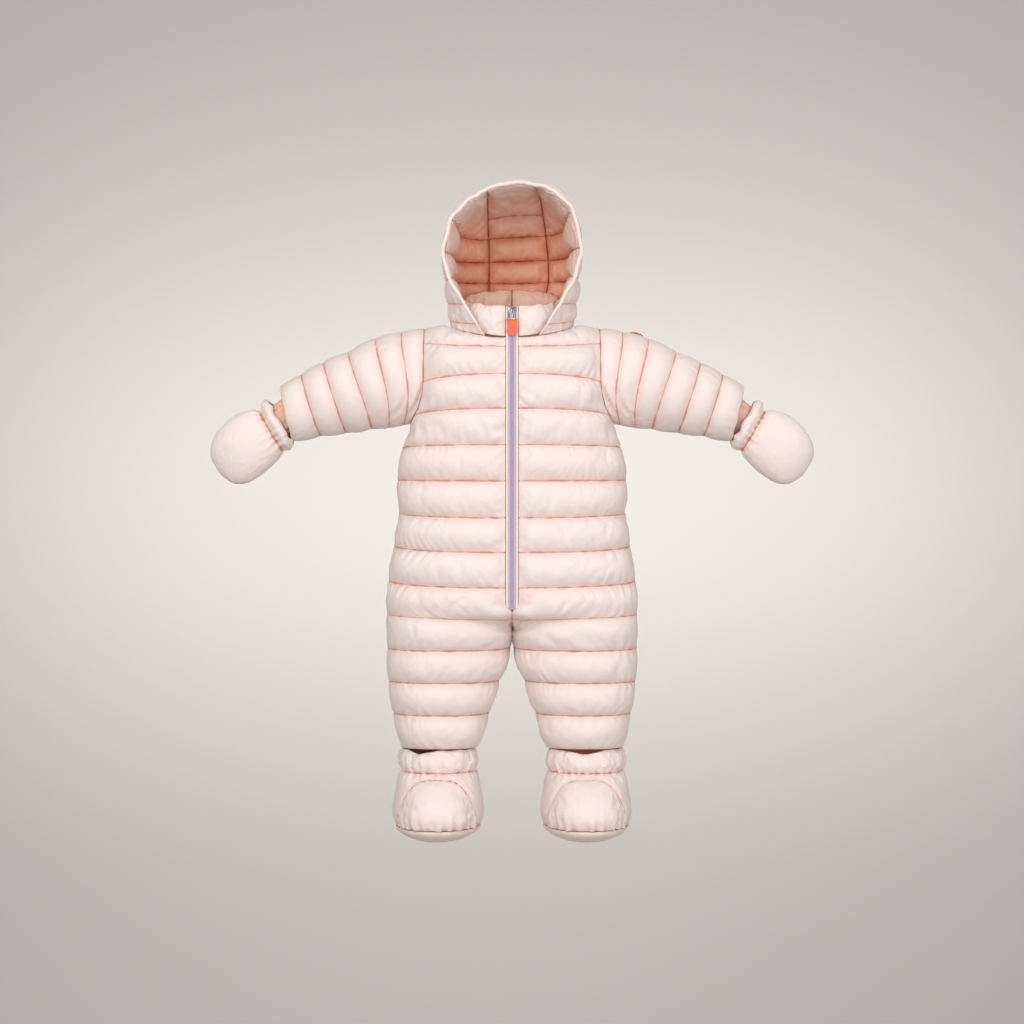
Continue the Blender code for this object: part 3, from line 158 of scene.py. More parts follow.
SLEEVE = [
    Ring(142.0, -3.5, 139.5, -123.0, 51.0, 14.0),
    Ring(175.5, -12.0, 158.5, -126.5, 49.5, 10.0),
    Ring(211.0, -29.0, 180.0, -128.0, 46.5, 3.0),
    Ring(242.5, -42.5, 213.5, -133.0, 42.5, 0.0),
    Ring(271.0, -58.0, 246.5, -137.0, 38.0, 0.0),
    Ring(296.5, -72.0, 280.0, -143.0, 34.0, 0.0),
]
Hood = namedtuple("Hood", "seam_x seam_y seam_z rim_x rim_y rim_z side_x side_y shift")
HOOD = [
    Hood(31.0, -46.0, 177.0, 52.0, -46.0, 167.0, 43.0, -46.0, -2.0),
    Hood(32.5, -5.0, 181.0, 60.0, -47.0, 161.0, 55.0, -25.0, 0.0),
    Hood(35.0, 42.0, 176.0, 66.5, -48.0, 154.0, 67.0, 2.0, 2.0),
    Hood(37.0, 76.0, 156.0, 72.0, -49.0, 148.0, 75.0, 14.0, 4.5),
    Hood(38.5, 94.0, 130.0, 76.5, -50.0, 141.0, 80.0, 22.0, 7.0),
    Hood(40.0, 103.0, 99.0, 86.0, -52.0, 97.0, 84.0, 24.0, 9.0),
    Hood(40.0, 99.0, 69.0, 78.0, -55.0, 62.0, 85.0, 22.0, 9.0),
    Hood(37.0, 83.0, 42.0, 60.0, -61.0, 28.0, 82.5, 14.0, 6.0),
    Hood(33.0, 64.0, 22.0, 44.0, -64.0, 2.0, 80.0, 5.0, 2.5),
]
HOOD_LINES_SIDE = [0, 4, 5, 6, 7, 8, 9]
HOOD_LINES_CENTRE = [0, 1, 3, 4, 5, 6, 7, 8, 9]
HOOD_NECK_ROW, HOOD_PUFF_RATIO, HOOD_PUFF_MAX = 9, 0.12, 4.0
HOOD_INNER_RATIO, HOOD_INNER_MAX = 0.34, 12.0
HOOD_CROWN, HOOD_TILT, HOOD_TOP_Z, HOOD_LIFT = 5.0, 0.11, 180.0, 0.45
HOOD_TAPER, HOOD_INNER_TAPER, HOOD_POWER, RIM_POWER = 12.0, 13.0, 0.9, 1.8
HOOD_NECK_START = 0.16   # where along the neck the hood begins, and ends again
SEAM_SLOPE, INNER_SEAM_SLOPE, RIM_SLOPE, BASE_SLOPE = 0.5, 0.8, 0.22, 0.4
NECK_SLOPE, ARM_SLOPE_LOW, ARM_SLOPE_HIGH = 0.45, 0.4, 0.9
RIM_SHADE_FAINT = 1.0          # how much fainter the painted stitch-line shade is along the bound rim
SHADE_Y, SHADE_DEPTH, SHADE_LEAST = -72.0, 105.0, 0.15   # lining tone, painted shade deepening into the hood and paler toward the rim
CROWN_Z, CROWN_FADE, CROWN_PAINTED_LIGHT = 125.0, 35.0, 0.45     # and painted light, paler under the crown
NECK_COLUMN = 0.62
COLLAR_X, COLLAR_FRONT, COLLAR_BACK, COLLAR_POWER = 70.0, 62.5, 52.0, 1.75
COLLAR_TOP_X, COLLAR_TOP_FRONT, COLLAR_TOP_BACK = 62.0, 61.5, 48.0
COLLAR_TOP_Z_FRONT, COLLAR_TOP_Z_BACK, COLLAR_LIFT = 26.0, 56.0, 0.9
COLLAR_PUFF, COLLAR_INNER_SHARE, COLLAR_TAPER, COLLAR_EDGE_WAVE = 4.5, 0.6, 14.0, 1.1
COLLAR_TUCKS = ((0.34, 0.030, 0.55), (0.62, 0.028, 0.7), (0.80, 0.022, 0.4))

Tube = namedtuple("Tube", "x z half_z half_y lean")
INNER_CUFF = [
    Tube(262.0, -98.5, 28.0, 31.0, 17.0),
    Tube(276.0, -103.0, 22.0, 23.0, 19.0),
    Tube(293.0, -109.5, 18.5, 20.0, 24.0),
    Tube(308.0, -121.0, 15.5, 17.0, 30.0),
]
CUFF_SAG, CUFF_WALL = 6.5, 0.7           # the inner cuff hangs lower than round
MITTEN_X, MITTEN_Z, MITTEN_LEAN = 310.7, -131.0, 30.5
Pouch = namedtuple("Pouch", "along up down half_y wall")
MITTEN = [
    Pouch(-15.0, 36.0, 28.0, 26.5, 3.0),
    Pouch(-12.0, 39.5, 31.5, 29.5, 5.5),
    Pouch(-6.5, 38.5, 33.0, 29.0, 5.5),
    Pouch(-1.5, 31.0, 29.5, 23.0, 4.0),
    Pouch(0.0, 29.5, 29.0, 21.0, 3.5),
    Pouch(2.5, 33.5, 32.0, 23.0, 4.0),
    Pouch(9.0, 38.0, 36.0, 26.0, 5.0),
    Pouch(27.0, 42.0, 41.0, 28.0, 5.0),
    Pouch(48.0, 39.5, 43.5, 27.0, 5.0),
    Pouch(64.0, 33.5, 41.5, 22.5, 5.0),
    Pouch(76.0, 25.0, 34.0, 16.0, 5.0),
    Pouch(83.0, 15.0, 21.0, 9.0, 4.5),
]
MITTEN_TIP, TIP_WALL, TIP_BACK_START, TIP_BACK_SHARE = 85.5, 7.0, 27.0, 0.35
RUFFLE_WAVE, RUFFLE_BACK = 1.6, 3.2
ELASTIC_ROW = 4          # row of MITTEN and of BOOT that the elastic draws in

BOOT_X, BOOT_POWER = 95.0, 0.9
Boot = namedtuple("Boot", "z half_x toe heel wall")
BOOT = [
    Boot(-541.5, 46.0, 46.5, 46.0, 3.0),
    Boot(-547.0, 50.5, 51.0, 50.5, 5.0),
    Boot(-557.0, 52.5, 53.0, 52.5, 6.0),
    Boot(-564.5, 49.0, 49.5, 49.0, 5.0),
    Boot(-567.5, 46.0, 46.5, 46.0, 4.0),
    Boot(-571.0, 49.0, 51.5, 48.5, 4.0),
    Boot(-579.0, 51.5, 62.0, 50.0, 4.5),
    Boot(-591.0, 53.5, 76.0, 50.5, 4.5),
    Boot(-605.0, 56.0, 88.0, 51.0, 4.5),
    Boot(-620.0, 57.5, 94.0, 51.5, 4.5),
    Boot(-635.0, 55.0, 92.0, 50.5, 4.5),
]
TOE_CAP_ANGLE, TOE_SEAM_GAP = 64.0, 0.02
TOE_SEAM_TOP, TOE_SEAM_END, TOE_SEAM_BEND = 5.55, 9.85, 2.6
TOE_PUFF_RATIO, TOE_PUFF, TOE_TAPER = 0.05, 2.6, 12.0
CUFF_RISE = 3.8          # how far the bootie cuff stands up, but for a slit at the front
Slit = namedtuple("Slit", "side angle spread")
SLITS = (Slit("left", -6.0, 34.0), Slit("right", 28.0, 30.0))
Sole = namedtuple("Sole", "z inset")
SOLE = [Sole(-635.6, 0.4), Sole(-638.0, 0.0), Sole(-641.5, 2.0), Sole(-645.0, 7.0),
        Sole(-648.0, 13.0), Sole(-650.8, 20.0), Sole(-652.0, 26.0), Sole(-652.0, 40.0)]
SOLE_MIDDLE_Y, SOLE_WAVE = -20.0, 0.7
ZIP_TOP_Z, ZIP_LAST_ROW = 24.5, 8.7
TAPE_SECTION = ((-4.9, -1.6), (4.9, -1.6), (4.9, -0.1), (4.3, 0.15), (-4.3, 0.15), (-4.9, -0.1))
TAPE_END, TAPE_END_SHARE = 9.0, 0.5      # the tape's last stretch, and how far it narrows
TOOTH_SIZE, TOOTH_CENTRE, TOOTH_BEVEL = (3.4, 0.9, 0.62), (0.55, -0.62, 0.0), 0.2
TOOTH_PITCH = 1.35
PIPING_X, PIPING_RADIUS, PIPING_WAVE, PIPING_LIFT = 6.3, 1.4, 0.12, 0.45
PIPING_END, PIPING_CLOSE = 12.0, 1.6     # the last stretch draws in to the middle
HINGE = (0.0, -66.81, 18.5)              # axis of the pull, parallel to x
SLIDER_Z, SLIDER_WIDTH, SLIDER_HEIGHT, SLIDER_THICK = 15.5, 11.6, 16.5, 1.9
SLIDER_NARROWS, SLIDER_ROUND, BRIDGE_ROUND, LINK_ROUND, TAB_ROUND = 0.62, 0.85, 0.4, 0.42, 0.7
BRIDGE_HALF, BRIDGE_BAR, BRIDGE_DROP, BRIDGE_RISE = 1.2, 1.3, 11.0, 2.4
LINK_WIRE, LINK_HALF_WIDTH, LINK_LENGTH = 1.4, 3.9, 12.0
TAB_WIDTH, TAB_LENGTH, TAB_THICK = 14.2, 21.0, 2.4
TAB_OUTLINE = ((0.0, 0.8), (0.1, 0.0), (0.28, 1.1), (0.46, 1.8), (0.62, 1.0), (0.76, 0.0),
               (0.87, 1.6), (0.95, 4.2), (1.0, 7.6))      # share of the length, how much narrower
TAB_NOTCH_DEPTH, TAB_NOTCH_GAP, TAB_TOP_DROP = 2.1, 0.35, 9.5
BADGE_ROW, BADGE_ANGLE, BADGE_RADIUS, BADGE_THICK, BADGE_LIFT = 1.55, -24.0, 10.5, 1.6, 1.4
BADGE_RISE = 11.5
BADGE_RIM, BADGE_DISH, BADGE_SIDES = 1.1, 0.3, 64
BINDING_OUT, BINDING_SIDE, BINDING_HALF_WIDTH, BINDING_HALF_DEPTH = 2.0, 1.2, 2.6, 1.9
BINDING_STEP, BINDING_END = 2.6, 24.0    # spacing of its rings, and its tapered ends
BINDING_SWAY, BINDING_GATHER = 0.9, 0.35
BINDING_SLIM, BINDING_SLIM_Z = 0.35, 70.0          # slimmer below this height
TRIM_SHADE_GAP = 9.0           # stitch distance given to binding and piping, which sets their painted valley shade

# Small folds: depth, how far they run out from the line, and spacing.
Folds = namedtuple("Folds", "depth reach spacing")
PANEL_PUCKER, SLEEVE_PUCKER = Folds(1.25, 5.5, 10.0), Folds(1.3, 5.0, 9.0)
FRONT_PUCKER, SIDE_PUCKER = Folds(1.9, 8.0, 9.0), Folds(1.2, 6.0, 9.0)
HOOD_PUCKER, HOOD_INNER_PUCKER = Folds(0.8, 4.5, 9.0), Folds(1.2, 5.0, 10.0)
HOOD_SEAM_PUCKER, COLLAR_PUCKER = Folds(0.9, 5.0, 10.0), Folds(0.6, 4.0, 9.0)
MITTEN_PUCKER, TOE_PUCKER = Folds(1.1, 4.0, 6.5), Folds(0.7, 3.0, 7.0)
CUFF_GATHER, TOE_GATHER = Folds(0.8, 8.0, 13.0), Folds(2.3, 13.0, 15.0)
MITTEN_GATHER, BOOT_GATHER = Folds(1.5, 9.0, 8.5), Folds(1.4, 9.0, 9.5)

# How far the cloth may move while it swells, and what the swelling starts from.
HOOD_SWELL, COLLAR_SWELL, MITTEN_SWELL, BOOT_SWELL = 3.5, 3.0, 1.8, 2.2
SMALL_GROWTH, MITTEN_BACK, BOOT_BACK = 0.05, 0.8, 0.5
SHAKE, CLOTH_MASS, CLOTH_BENDING, CLOTH_QUALITY, SWELL_FRAMES = 0.22, 0.02, 0.06, 5, 20

# Share of the lining's tone (the lining's colour made deeper as painted shade) on the inner face,
# and on the outer face of the inner cuffs, where it is painted shade.
LINING_TONE, COLLAR_TONE, CUFF_SHADE_TONE = 0.9, 0.6, 0.85

# ---- studio, metres and watts
FLOOR_Z, FLOOR_FRONT, SWEEP_Y, SWEEP, BACKDROP_TOP, BACKDROP_HALF = -2.7, -6.0, 1.2, 1.6, 5.0, 7.0
PAPER, AIR, AIR_STRENGTH = (0.58, 0.565, 0.54, 1.0), (1.0, 0.915, 0.865, 1.0), 0.45
Softbox = namedtuple("Softbox", "name where aim size watts tint")
SOFTBOXES = (
    Softbox("key_softbox", (-1.2, -2.5, 1.2), (0.0, 0.0, -0.3), (1.5, 1.5), 39.0,
            (1.0, 0.985, 0.97)),
    Softbox("side_softbox", (1.9, -2.0, 0.3), (0.0, 0.0, -0.35), (1.6, 1.8), 20.0,
            (1.0, 1.0, 1.0)),
    Softbox("front_softbox", (0.2, -3.4, -0.7), (0.0, 0.0, -0.5), (1.6, 1.6), 26.5,
            (1.0, 1.0, 1.0)),
    Softbox("top_softbox", (0.0, -0.6, 2.6), (0.0, 0.0, 0.0), (2.4, 1.6), 7.5, (1.0, 1.0, 1.0)),
    Softbox("backdrop_glow", (0.0, 1.75, -0.15), (0.0, 2.8, -0.15), (2.6, 0.3), 18.0,
            (1.0, 0.99, 0.97)),
)
LEG_GLOWS, LEG_GLOW_COLOUR = ((-0.095, 0.002), (0.095, 0.010)), (1.0, 0.55, 0.42)
CAMERA, SENSOR, VIEW_ANGLE = (0.0, -3.0, -0.235), 36.0, 24.83

# ---- fineness of the dressed meshes
BODY_COLUMNS = 70        # cells across a quarter of the body
CHANNEL_STEPS = (0.0, 0.05, 0.14, 0.26, 0.38, 0.5, 0.62, 0.74, 0.86, 0.95)
CROWN_STEPS = 6          # cells from row to row of the hood's crown
CROWN_ROWS = 3
FINE_CHANNELS = (0, 1, 2, 3, 8, 9)       # where the inner wall needs rows between its lines
TUBE_COLUMNS, HOOD_COLUMNS, CENTRE_COLUMNS, COLLAR_COLUMNS = 96, 44, 24, 74
BOOT_COLUMNS, TOE_COLUMNS, SMALL_COLUMNS = 120, 60, 12
MITTEN_FINENESS, BOOT_FINENESS, CUFF_FINENESS = 5, 6, 9
SMOOTH_ANGLE, STRIP_ANGLE, HARD_ANGLE = math.radians(70.0), math.radians(60.0), math.radians(50.0)
FAR = 1000.0


# ---- values and small helpers
def smooth_value(values, at):
    last = len(values) - 1
    at = min(max(at, 0.0), float(last))
    i = min(int(at), last - 1)
    t = at - i
    p1, p2 = values[i], values[i + 1]
    p0 = values[i - 1] if i > 0 else p1 * 2 - p2
    p3 = values[i + 2] if i + 2 <= last else p2 * 2 - p1
    return (p1 * 2.0 + (p2 - p0) * t + (p0 * 2.0 - p1 * 5.0 + p2 * 4.0 - p3) * (t * t)
            + (p1 * 3.0 - p0 - p2 * 3.0 + p3) * (t * t * t)) * 0.5


COLUMN_CACHE = {}


def table_value(table, column, at):
    key = (id(table), column)
    if key not in COLUMN_CACHE:
        COLUMN_CACHE[key] = [getattr(row, column) for row in table]
    return smooth_value(COLUMN_CACHE[key], at)


def ease(t):
    t = min(max(t, 0.0), 1.0)
    return t * t * (3.0 - 2.0 * t)


def signed_power(values, power):
    return np.sign(values) * np.abs(values) ** power


def lerp(a, b, t):
    return a + (b - a) * t


def unit(a):
    return a / np.maximum(np.linalg.norm(a, axis=-1, keepdims=True), 1e-9)


def as_grid(rows):
    return np.array([[tuple(p) for p in row] for row in rows])


def run_of(points):
    """Distance of each point of a line from its start."""
    return np.concatenate([[0.0], np.cumsum(np.linalg.norm(np.diff(points, axis=0), axis=1))])


def resampled(values, run, at):
    return np.stack([np.interp(at, run, values[:, k]) for k in range(3)], axis=1)


def calmed(line, passes):
    """Even out a line, leaving its two ends."""
    for _ in range(passes):
        line[1:-1] = 0.5 * line[1:-1] + 0.25 * (line[:-2] + line[2:])


def row_numbers(rows):
    return {round(v, 4): i for i, v in enumerate(rows)}


def row_gaps(grid, at):
    """Distance of each point from the same column's point in one row."""
    return np.linalg.norm(grid - grid[at][None], axis=2)


def column_gaps(grid, at):
    return np.linalg.norm(grid - grid[:, at][:, None], axis=2)


def mirrored(grid):
    return grid * np.array([-1.0, 1.0, 1.0])


SIDES = (("left", np.copy), ("right", mirrored))


def new_object(name, data):
    made = bpy.data.objects.new(name, data)
    bpy.context.collection.objects.link(made)
    return made


# ---- surfaces on which the panels are stitched
def arm_angle(v):
    stops = [0.0] + [math.acos((LINES[k].z_side - ARM_CENTRE_Z) / ARM_HALF_Z) for k in (1, 2, 3)]
    if v <= 3.0:
        k = min(int(v), 2)
        return lerp(stops[k], stops[k + 1], v - k)
    return lerp(stops[3], math.pi, min((v - 3.0) / (V_UNDERARM - 3.0), 1.0))


def arm_point(angle, side):
    z = ARM_CENTRE_Z + ARM_HALF_Z * math.cos(angle)
    below = max(0.0, (ARM_CENTRE_Z - z) / ARM_HALF_Z)
    return Vector((ARM_X + ARM_UNDER_OUT * below ** 2.5, side * ARM_HALF_Y * math.sin(angle), z))


def neck_row(u, side, start_x):
    if u <= NECK_COLUMN:
        angle = 0.5 * math.pi * u / NECK_COLUMN
        depth = NECK_FRONT if side < 0 else NECK_BACK
        middle_z = NECK_Z_FRONT if side < 0 else NECK_Z_BACK
        return Vector((start_x + (NECK_X - start_x) * math.sin(angle),
                       side * depth * math.cos(angle), middle_z * math.cos(angle) ** 2))
    t = (u - NECK_COLUMN) / (1.0 - NECK_COLUMN)
    return Vector((lerp(NECK_X, SHOULDER_X, t), 0.0, lerp(0.0, SHOULDER_Z, t)))


def torso_row(u, v, side, start_x):
    if v < V_UNDERARM:
        end = arm_point(arm_angle(v), side)
    else:
        end = Vector((table_value(LINES, "half_width", v), table_value(LINES, "side_y", v),
                      table_value(LINES, "z_side", v)))
        if v < 4.0:
            low_share = ease((v - V_UNDERARM) / (4.0 - V_UNDERARM))
            under = arm_point(math.pi, side)
            end.x = lerp(under.x, end.x, low_share)
            end.y = lerp(0.0, end.y, low_share)
            end.z = lerp(under.z, LINES[4].z_side, (v - V_UNDERARM) / (4.0 - V_UNDERARM))
    depth = table_value(LINES, "front" if side < 0 else "back", v)
    sweep = math.radians(min(table_value(LINES, "sweep", v), 90.0))
    angle = u * sweep
    across = (math.sin(angle) / math.sin(sweep)) ** ACROSS_POWER
    along = max(0.0, (math.cos(angle) - math.cos(sweep)) / (1.0 - math.cos(sweep))) ** DEPTH_POWER
    bow = table_value(LINES, "bow", v) * (1.0 if side < 0 else BACK_BOW)
    return Vector((start_x + (end.x - start_x) * across, end.y + (side * depth - end.y) * along,
                   end.z + bow * along))


def leg_row(u, v, side):
    at = v - LEG_FIRST
    outer = table_value(LEGS, "outer", at)
    inner = max(CENTRE_INSET, table_value(LEGS, "inner", at))
    depth = table_value(LEGS, "front" if side < 0 else "back", at)
    angle = math.pi * (u - 0.5)
    forward = max(0.0, math.cos(angle)) ** DEPTH_POWER
    middle_y = lerp(table_value(LEGS, "inseam_y", at), table_value(LEGS, "side_y", at), u)
    x = 0.5 * (outer + inner) + 0.5 * (outer - inner) * signed_power(math.sin(angle), LEG_POWER)
    return Vector((x, middle_y + side * depth * forward,
                   table_value(LEGS, "z", at) + table_value(LEGS, "bow", at) * forward))


def body_point(u, v, side):
    below_zip = ease((v - V_ZIP_END + ZIP_END_TAPER) / ZIP_END_TAPER)
    start_x = lerp(ZIP_HALF, CENTRE_INSET, below_zip) if side < 0 else CENTRE_INSET
    if v < 1.0:
        rounding = min(1.0, u / NECK_COLUMN)
        forward, down = v ** (1.0 - 0.15 * rounding), v ** (1.0 + 0.5 * rounding)
        p, edge = (Vector((lerp(top.x, low.x, v), lerp(top.y, low.y, forward),
                           lerp(top.z, low.z, down)))
                   for top, low in ((neck_row(at, side, start_x), torso_row(at, 1.0, side, start_x))
                                    for at in (u, 1.0)))
        return p + (arm_point(arm_angle(v), side) - edge) * u ** 3
    if v <= V_ZIP_END:
        return torso_row(u, v, side, start_x)
    if v >= V_CROTCH:
        return leg_row(u, v, side)
    share = ease((v - V_ZIP_END) / (V_CROTCH - V_ZIP_END))
    torso = torso_row(u, v, side, start_x)
    leg = leg_row(u, max(v, LEG_FIRST), side)
    leg.z = torso.z
    p = torso.lerp(leg, share)
    if u == 0.0:
        p.x = CENTRE_INSET
    return p


def sleeve_ring_point(k, angle):
    turn = angle % (2.0 * math.pi)
    if k == 0:
        return arm_point(min(turn, 2.0 * math.pi - turn), -1 if turn <= math.pi else 1)
    ring = SLEEVE[k - 1]
    share = 0.5 + 0.5 * math.cos(angle)
    dip = ring.dip * math.sin(angle) ** 2 * (1.0 - share)
    return Vector((lerp(ring.bottom_x, ring.top_x, share) - dip,
                   -ring.half_y * math.sin(angle), lerp(ring.bottom_z, ring.top_z, share)))


def sleeve_point(v, angle):
    return smooth_value([sleeve_ring_point(k, angle) for k in range(len(SLEEVE) + 1)], v)


# ---- walls, seams and quilting
def cell_normals(grid):
    a = grid[1:, 1:] - grid[:-1, :-1]
    b = grid[1:, :-1] - grid[:-1, 1:]
    return np.cross(a, b)


def shared_normals(grids, signs, middle=False):
    """Unit normals of several grids, added up wherever their points meet."""
    store = {}
    sums = []
    for grid, sign in zip(grids, signs):
        area = cell_normals(grid) * sign
        total = np.zeros_like(grid)
        for dr in (0, 1):
            for dc in (0, 1):
                rows = slice(dr, grid.shape[0] - 1 + dr)
                total[rows, dc:grid.shape[1] - 1 + dc] += area
        sums.append(total)
        for r, c in border_cells(grid):
            key = tuple(np.round(grid[r, c], 2))
            store[key] = store.get(key, 0.0) + total[r, c]
    for grid, total in zip(grids, sums):
        for r, c in border_cells(grid):
            total[r, c] = store[tuple(np.round(grid[r, c], 2))]
        if middle:
            total[np.abs(grid[..., 0]) < 2.0 * CENTRE_INSET, 0] = 0.0
    return [unit(total) for total in sums]


def border_cells(grid):
    rows, cols = grid.shape[:2]
    for c in range(cols):
        yield 0, c
        yield rows - 1, c
    for r in range(1, rows - 1):
        yield r, 0
        yield r, cols - 1


def channel_heights(grid, rows, lines, ratio, most, taper=EDGE_TAPER, near=(), share=1.0):
    """Height of the padding over each point of a grid. share lowers it where it is drawn in."""
    where = row_numbers(rows)
    heights = np.zeros(grid.shape[:2])
    for low, high in zip(lines, lines[1:]):
        first, last = where[float(low)], where[float(high)]
        span = np.linalg.norm(grid[last] - grid[first], axis=1)
        for r in range(first + 1, last):
            t = (rows[r] - low) / (high - low)
            heights[r] = np.minimum(most, ratio * span) * math.sin(math.pi * t) ** PUFF_POWER
    edge = np.minimum(column_gaps(grid, 0), column_gaps(grid, -1))
    heights *= np.minimum(1.0, edge / taper) ** 0.7
    heights *= share
    for point, slope in near:
        heights = np.minimum(heights, slope * np.linalg.norm(grid - np.array(point), axis=2))
    return heights


def pull_in(grid, normals, sides):
    """Stop a panel a little short of its seams."""
    moved = grid.copy()
    for side in sides:
        edge, beside = {"first_col": ((slice(None), 0), (slice(None), 1)),
                        "last_col": ((slice(None), -1), (slice(None), -2)),
                        "first_row": ((0,), (1,)), "last_row": ((-1,), (-2,))}[side]
        line, n = grid[edge], normals[edge]
        run = np.gradient(line, axis=0)
        step = unit(np.cross(run, n))
        toward = np.sum(step * (grid[beside] - line), axis=1, keepdims=True)
        moved[edge] += step * np.sign(toward) * SEAM_INSET
    return moved


Swollen = namedtuple("Swollen", "points held flip")


def inflate(sheets, pressure, growth, cap, seed):
    """Swell sheets of cloth that are held along their stitch lines. Returns moved points."""
    rng = np.random.default_rng(seed)
    verts, faces, held = [], [], []
    for sheet in sheets:
        rows, cols = sheet.points.shape[:2]
        base = sum(len(v) for v in verts)
        quads = quads_of(base + np.arange(rows * cols).reshape(rows, cols))
        faces += [quad[::-1] for quad in quads] if sheet.flip else quads
        shake = rng.normal(0.0, SHAKE, sheet.points.shape)
        shake[sheet.held] = 0.0
        verts.append((sheet.points + shake).reshape(-1, 3) * MM)
        held.append(sheet.held.reshape(-1))
    start = np.concatenate(verts)
    held = np.concatenate(held)
    mesh = bpy.data.meshes.new("swelling")
    mesh.from_pydata(start.tolist(), [], faces)
    cloth_object = new_object("swelling", mesh)
    group = cloth_object.vertex_groups.new(name="held")
    group.add(np.nonzero(held)[0].tolist(), 1.0, "REPLACE")
    cloth = cloth_object.modifiers.new("cloth", "CLOTH")
    for key, value in (("vertex_group_mass", "held"), ("use_pressure", True),
                       ("uniform_pressure_force", pressure), ("shrink_min", -growth),
                       ("shrink_max", -growth), ("mass", CLOTH_MASS),
                       ("quality", CLOTH_QUALITY), ("bending_stiffness", CLOTH_BENDING)):
        setattr(cloth.settings, key, value)
    cloth.settings.effector_weights.gravity = 0.0
    cloth.collision_settings.use_collision = False
    cloth.point_cache.frame_start = 1
    cloth.point_cache.frame_end = SWELL_FRAMES
    for number in range(1, SWELL_FRAMES + 1):
        bpy.context.scene.frame_set(number)
    evaluated = cloth_object.evaluated_get(bpy.context.evaluated_depsgraph_get())
    moved = np.empty(len(start) * 3)
    evaluated.data.vertices.foreach_get("co", moved)
    moved = moved.reshape(-1, 3)
    bpy.context.scene.frame_set(1)
    bpy.data.objects.remove(cloth_object, do_unlink=True)
    bpy.data.meshes.remove(mesh)
    step = moved - start
    length = np.linalg.norm(step, axis=1, keepdims=True)
    moved = (start + step * np.minimum(1.0, cap * MM / np.maximum(length, 1e-9))) / MM
    result, at = [], 0
    for sheet in sheets:
        count = sheet.points.shape[0] * sheet.points.shape[1]
        result.append(moved[at:at + count].reshape(sheet.points.shape))
        at += count
    return result


def evened(step, held, passes):
    """Calm the small unevenness of a swelling along the rows, leaving what is held."""
    for _ in range(passes):
        calm = step.copy()
        calm[:, 1:-1] = 0.5 * step[:, 1:-1] + 0.25 * (step[:, :-2] + step[:, 2:])
        calm[held] = 0.0
        step = calm
    return step


def held_mask(shape, rows, lines):
    """Points that the stitching holds: the quilt lines and the panel's own edges."""
    held = np.zeros(shape, dtype=bool)
    held[[r for r, v in enumerate(rows) if min(abs(v - line) for line in lines) < 1e-6]] = True
    held[:, [0, -1]] = held[[0, -1]] = True
    return held


def side_strip(outer, inner, plain, column):
    """Faces along a side edge, from the outer grid to the sparser rows of the inner one."""
    faces = []
    for k in range(len(plain) - 1):
        low, high = plain[k], plain[k + 1]
        middle = (low + high + 1) // 2
        for r in range(low, middle):
            faces.append((outer[r, column], outer[r + 1, column], inner[k, column]))
        faces.append((outer[middle, column], inner[k + 1, column], inner[k, column]))
        for r in range(middle, high):
            faces.append((outer[r, column], outer[r + 1, column], inner[k + 1, column]))
    return faces


def quads_of(ids):
    """Cells of a grid of point numbers."""
    quads = np.stack([ids[:-1, :-1], ids[:-1, 1:], ids[1:, 1:], ids[1:, :-1]], axis=-1)
    return quads.reshape(-1, 4).tolist()


def cloth_piece(name, outer, inner, plain, line_gap, closed=False, tip=False, lining=0.0,
                finer=True, outer_tone=0.0):
    """Closed padded wall between an outer and an inner grid, with its cloth coordinates.

    plain: the rows of the outer grid that the inner one has too. line_gap: the distance of
    each outer point from the nearest stitch line. closed: the last column meets the first.
    tip: the last row is one point. lining and outer_tone: how far the inner and the outer face
    have the deeper tone of the lining, which is partly painted shade.
    """
    rows, cols = outer.shape[:2]
    outer_ids = np.arange(rows * cols).reshape(rows, cols)
    inner_ids = rows * cols + np.arange(inner.shape[0] * cols).reshape(inner.shape[0], cols)
    faces = quads_of(outer_ids) + quads_of(inner_ids[:, ::-1])
    for r in ((0,) if tip else (0, -1)):
        faces += quads_of(np.stack([outer_ids[r], inner_ids[r]]))
    for column in (() if closed else (0, -1)):
        faces += side_strip(outer_ids, inner_ids, plain, column)
    verts = np.concatenate([outer.reshape(-1, 3), inner.reshape(-1, 3)])
    along = np.zeros((rows, cols))
    along[:, 1:] = np.cumsum(np.linalg.norm(np.diff(outer, axis=1), axis=2), axis=1)
    across = np.zeros((rows, cols))
    across[1:] = np.cumsum(np.linalg.norm(np.diff(outer, axis=0), axis=2), axis=0)
    uv = np.stack([along, across], axis=-1)
    uv = np.concatenate([uv.reshape(-1, 2), uv[plain].reshape(-1, 2)])
    gap = np.concatenate([line_gap.reshape(-1), line_gap[plain].reshape(-1)])
    tone = np.concatenate([np.full(rows * cols, outer_tone),
                           np.broadcast_to(lining, inner.shape[:2]).reshape(-1)])
    piece = mapped_piece(name, verts, faces, uv, gap, tone)
    if finer:
        make_active(piece)
        surface = piece.modifiers.new("finer", "SUBSURF")
        surface.levels = surface.render_levels = 1
        surface.use_limit_surface = False
        bpy.ops.object.modifier_apply(modifier=surface.name)
    piece.data.shade_smooth()
    piece.data.set_sharp_from_angle(angle=SMOOTH_ANGLE)
    return piece


